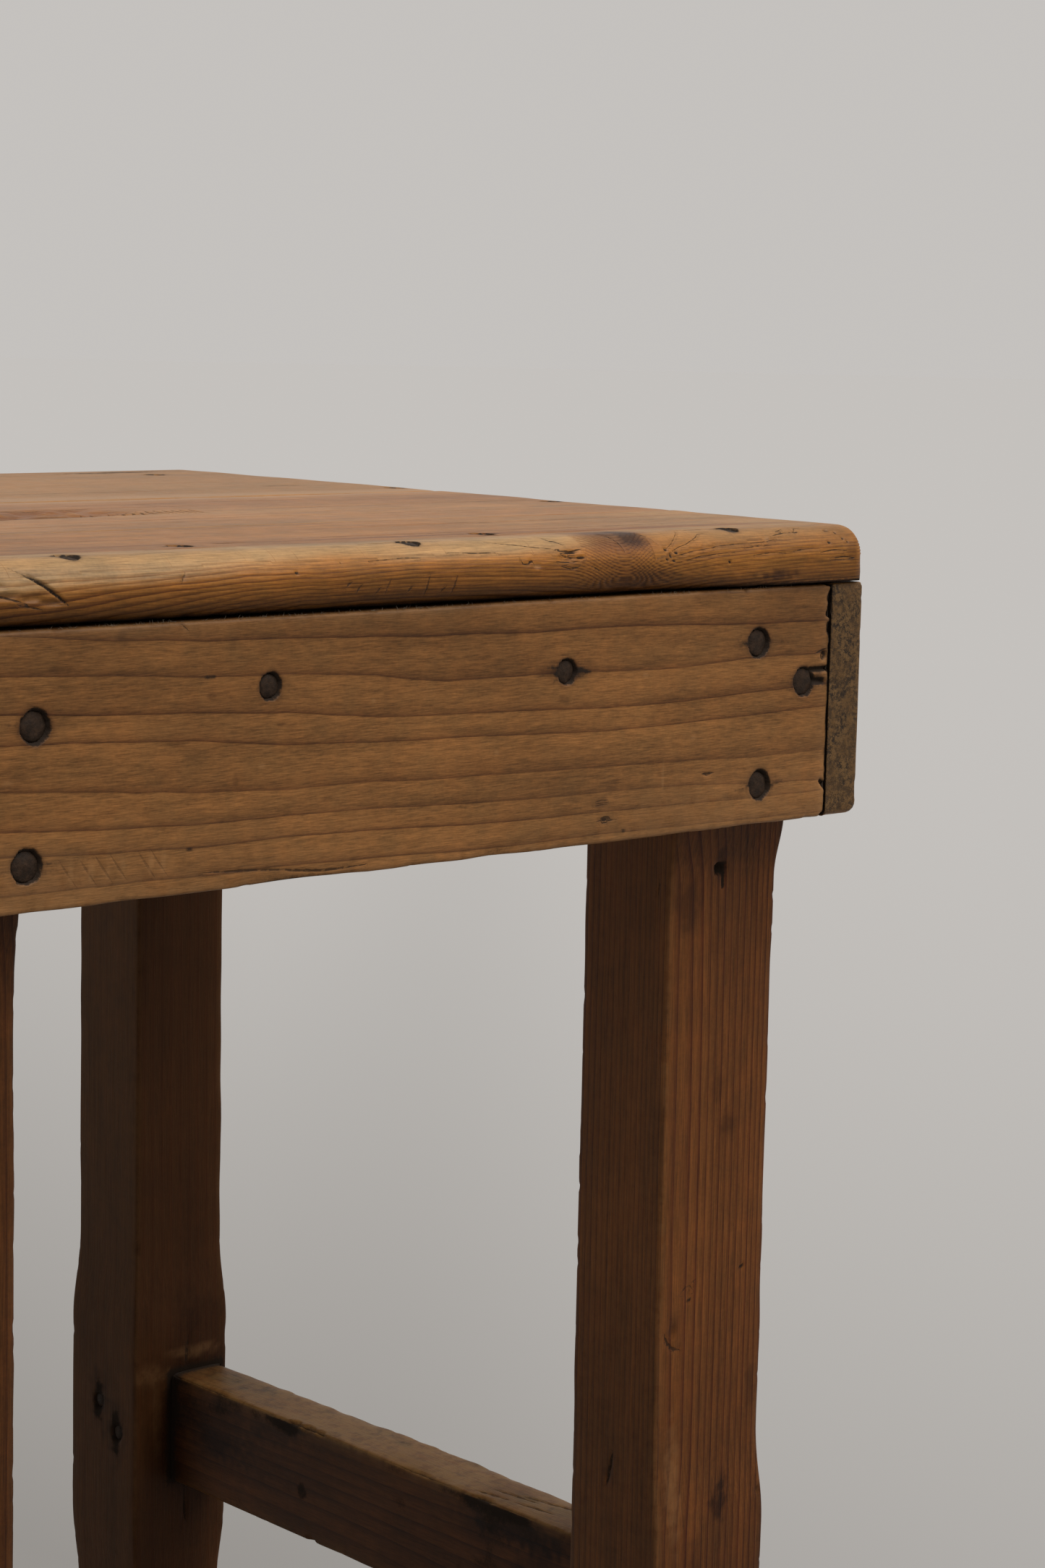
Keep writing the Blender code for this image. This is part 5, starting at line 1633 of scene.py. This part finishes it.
class HIGHSTOOL_OT_rails(Operator):
    """Make the side rails and foot rails, worn along the top"""

    bl_idname = "high_stool.make_rails"
    bl_label = "Rails"

    def execute(self, context):
        shared_groups()
        finish, wear = context.scene.stool_finish, context.scene.stool_wear
        look = {
            "line_width": 0.3, "line_strength": 0.5, "fibre": 0.7, "ring_wander": 0.2,
            "worn": finish.rail_worn, "shine": 0.12,
        }
        along_x = pine_material("rail_pine_foot", 0, finish.rail, finish.rail_line, finish, **look)
        along_y = pine_material("rail_pine_side", 1, finish.rail, finish.rail_line, finish, **look)
        for number, (side, spacing) in enumerate((("right", 0.8), ("left", 1.2))):
            shoulders = (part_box(f"front_{side}_leg")[1].y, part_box(f"back_{side}_leg")[0].y)
            rail = make_rail(side + "_side_rail", 1, shoulders, wear, 30 + number, spacing)
            if side == "right":
                carve_right_rail(rail)
            rail.finish(along_y, "rail_pine")
        for number, side in enumerate(("front", "back")):
            shoulders = (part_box(side + "_left_leg")[1].x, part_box(side + "_right_leg")[0].x)
            make_rail(side + "_foot_rail", 0, shoulders, wear, 33 + number, 1.3).finish(along_x, "rail_pine")
        return {"FINISHED"}


class HIGHSTOOL_OT_battens(Operator):
    """Make the two battens under the seat"""

    bl_idname = "high_stool.make_battens"
    bl_label = "Battens"

    def execute(self, context):
        shared_groups()
        finish, wear = context.scene.stool_finish, context.scene.stool_wear
        material = pine_material(
            "batten_pine_rough", 1, finish.batten, finish.apron_line, finish, line_width=0.25,
            line_strength=0.45, fibre=0.8, ring_wander=0.2, roughness=0.68, relief=0.22 * MM,
        )
        for number, side in enumerate(("left", "right")):
            make_batten(side + "_batten", material, wear, 40 + number)
        return {"FINISHED"}


class HIGHSTOOL_OT_nails(Operator):
    """Make the driven nails with their uneven heads"""

    bl_idname = "high_stool.make_nails"
    bl_label = "Nails"

    def execute(self, context):
        settings, finish = context.scene.stool_nails, context.scene.stool_finish
        aged = iron_material("nail_iron_aged", finish, 0.0)
        blackened = iron_material("nail_iron_blackened", finish, 0.45)
        tree = nail_tree()
        for number, (name, words) in enumerate(NAIL_KINDS.items()):
            nails = nails_in(*words)
            radius, length = nails[0]["radius"], nails[0]["length"]
            obj = point_object(name, [nail["place"] for nail in nails], [nail["outward"] for nail in nails])
            made = run_geometry_nodes(obj, tree, {
                "Head Radius": float(radius), "Head Height": float(radius * 0.32),
                "Shank Radius": float(radius * 0.38), "Length": float(length - 0.5 * MM),
                "Dome": settings.dome, "Dent": settings.dent, "Sides": settings.sides, "Seed": number,
                "Material": blackened if name == "rail_nails" else aged,
            })
            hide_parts(*[nail["node"] for nail in nails])
            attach(made, "root")
        return {"FINISHED"}


class HIGHSTOOL_OT_fibres(Operator):
    """Make the fibres caught in the gap between the seat and the front apron"""

    bl_idname = "high_stool.make_fibres"
    bl_label = "Gap Fibres"

    def execute(self, context):
        settings, finish = context.scene.stool_nails, context.scene.stool_finish
        chance = np.random.default_rng(5)
        low, high = FRONT_APRON
        x = chance.uniform(low.x + 3 * MM, high.x - 3 * MM, settings.fibres)
        thick = smooth(noise(np.stack((x, 0 * x, 0 * x), axis=1), 0.012, 3), -0.6, 0.5)
        x = x[chance.uniform(0, 1, settings.fibres) < 0.25 + 0.75 * thick]
        y = low.y + chance.uniform(0.15, 1.0, len(x)) * MM
        places = np.stack((x, y, np.full(len(x), high.z - 0.25 * MM)), axis=1)
        obj = point_object("gap_fibres", places, np.tile((0.0, 0.0, 1.0), (len(x), 1)))
        made = run_geometry_nodes(obj, fibre_tree(), {
            "Length": settings.fibre_length, "Radius": 0.06, "Seed": 4, "Material": fibre_material(finish)})
        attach(made, "root")
        return {"FINISHED"}


# Where the camera stands, what lies to its right and ahead of it, and the way in which the key light shines
CAMERA_PLACE = (-0.59875, -0.87016, 0.80472)
CAMERA_RIGHT, CAMERA_AHEAD = (0.7399, -0.6724, 0.0207), (0.6682, 0.7310, -0.1383)
LIGHT_WAY = (-0.15, 0.45, -0.88)
# A painted shadow on the floor: dimmest at a distance along one way, fading by a factor for each unit, and near
# a line beside it
SHADOW_WAY, SHADOW_FROM, SHADOW_FADE = (1.785, -0.267, 0.0), 0.864, 0.4966
SHADOW_LINE_ACROSS, SHADOW_LINE_PLACE, SHADOW_LINE_REACH = (0.740, -0.672, 0.0), 0.06, 0.26


class HIGHSTOOL_OT_stage(Operator):
    """Make the pale floor, the soft light and the camera"""

    bl_idname = "high_stool.make_stage"
    bl_label = "Studio"

    def execute(self, context):
        studio, finish = context.scene.stool_studio, context.scene.stool_finish
        self.make_floor(studio, finish)
        self.make_world(studio, finish)
        self.make_light(studio)
        self.make_camera(studio)
        context.scene.view_settings.view_transform = "Standard"
        return {"FINISHED"}

    def make_floor(self, studio, finish):
        """A round pale floor, with a painted shadow beside the stool."""
        bpy.ops.mesh.primitive_circle_add(vertices=96, radius=studio.floor_radius, fill_type="TRIFAN")
        floor = bpy.context.object
        floor.name = "studio_floor"
        material, n, place = new_material("pale_floor")
        reach = n.add("ShaderNodeVectorMath", {0: place}, operation="LENGTH").outputs["Value"]
        # A painted shadow: a dim band runs beside the stool and fades away on both sides of it
        along = n.add("ShaderNodeVectorMath", {0: place, 1: SHADOW_WAY}, operation="DOT_PRODUCT")
        painted_shadow = n.math("POWER", SHADOW_FADE, n.math("SUBTRACT", along.outputs["Value"], SHADOW_FROM))
        painted_shadow = n.math("MINIMUM", painted_shadow, n.ramp(along.outputs["Value"], -2.2, 0.9, 0.15, 1.1))
        over = n.add("ShaderNodeVectorMath", {0: place, 1: SHADOW_LINE_ACROSS}, operation="DOT_PRODUCT")
        beside = n.math("ABSOLUTE", n.math("SUBTRACT", over.outputs["Value"], SHADOW_LINE_PLACE))
        painted_shadow = n.math("ADD", painted_shadow, n.ramp(beside, 0.0, SHADOW_LINE_REACH, 0.11, 0.0))
        painted_shadow = n.math("MINIMUM", painted_shadow, n.ramp(reach, 3.0, 7.0, 1.1, 0.0))
        near, far = (rgba([value / studio.floor_light for value in colour])
                     for colour in (finish.floor_shadow, finish.floor_far))
        colour = n.mix(painted_shadow, far, near)
        shader = n.add("ShaderNodeBsdfDiffuse", {"Color": colour})
        n.add("ShaderNodeOutputMaterial", {"Surface": shader.outputs[0]})
        floor.data.materials.append(material)

    def make_world(self, studio, finish):
        """Light from all round, behind which the camera sees the plain backdrop."""
        world = bpy.data.worlds.new("studio")
        bpy.context.scene.world = world
        world.use_nodes = True
        n = Nodes(world.node_tree)
        path = n.add("ShaderNodeLightPath").outputs
        seen = n.math("MAXIMUM", n.math("MAXIMUM", path["Is Camera Ray"], path["Is Glossy Ray"]),
                      path["Is Transmission Ray"])
        lit = n.add("ShaderNodeBackground", {"Color": (1.0, 0.985, 0.965, 1.0), "Strength": studio.fill})
        shown = n.add("ShaderNodeBackground", {"Color": rgba(finish.backdrop), "Strength": 1.0})
        both = n.add("ShaderNodeMixShader", {0: seen, 1: lit.outputs[0], 2: shown.outputs[0]})
        n.add("ShaderNodeOutputWorld", {"Surface": both.outputs[0]})

    def make_light(self, studio):
        """The soft key light."""
        lamp = bpy.data.lights.new("soft_key", "SUN")
        lamp.energy, lamp.angle, lamp.color = studio.key, studio.key_spread, (1.0, 0.985, 0.96)
        obj = bpy.data.objects.new("soft_key", lamp)
        obj.rotation_euler = Vector(LIGHT_WAY).to_track_quat("-Z", "Y").to_euler()
        bpy.context.scene.collection.objects.link(obj)

    def make_camera(self, studio):
        """The camera, in the place and turn that the photograph was taken from."""
        camera = bpy.data.cameras.new("photo_camera")
        camera.lens, camera.sensor_width, camera.sensor_fit = studio.lens, 36.0, "AUTO"
        obj = bpy.data.objects.new("photo_camera", camera)
        ahead = Vector(CAMERA_AHEAD).normalized()
        above = Vector(CAMERA_RIGHT).cross(ahead).normalized()
        right = ahead.cross(above)
        turn = Matrix((right, above, -ahead)).transposed()
        obj.matrix_world = Matrix.Translation(CAMERA_PLACE) @ turn.to_4x4()
        bpy.context.scene.collection.objects.link(obj)
        bpy.context.scene.camera = obj


MAKERS = (
    HIGHSTOOL_OT_stage, HIGHSTOOL_OT_seat, HIGHSTOOL_OT_aprons, HIGHSTOOL_OT_legs, HIGHSTOOL_OT_rails,
    HIGHSTOOL_OT_battens, HIGHSTOOL_OT_nails, HIGHSTOOL_OT_fibres,
)


class HIGHSTOOL_PT_panel(Panel):
    """Lists what can be made, with the sizes and colours that it takes"""

    bl_idname = "HIGHSTOOL_PT_panel"
    bl_label = "High Pine Stool"
    bl_space_type = "VIEW_3D"
    bl_region_type = "UI"
    bl_category = "Stool"

    def draw(self, context):
        for maker in MAKERS:
            self.layout.operator(maker.bl_idname)
        for group in SETTINGS:
            box = self.layout.box()
            settings = getattr(context.scene, group)
            for name in settings.bl_rna.properties.keys():
                if name not in ("rna_type", "name"):
                    box.prop(settings, name)


SETTINGS = {
    "stool_finish": StoolFinish, "stool_wear": StoolWear,
    "stool_nails": StoolNails, "stool_studio": StoolStudio,
}
CLASSES = (*SETTINGS.values(), *MAKERS, HIGHSTOOL_PT_panel)


def register():
    for cls in CLASSES:
        bpy.utils.register_class(cls)
    for name, group in SETTINGS.items():
        setattr(bpy.types.Scene, name, PointerProperty(type=group))


def unregister():
    for name in SETTINGS:
        delattr(bpy.types.Scene, name)
    for cls in reversed(CLASSES):
        bpy.utils.unregister_class(cls)


def main():
    """Makes the stool and its studio."""
    register()
    for maker in MAKERS:
        group, name = maker.bl_idname.split(".")
        getattr(getattr(bpy.ops, group), name)()


if __name__ == "__main__":
    main()
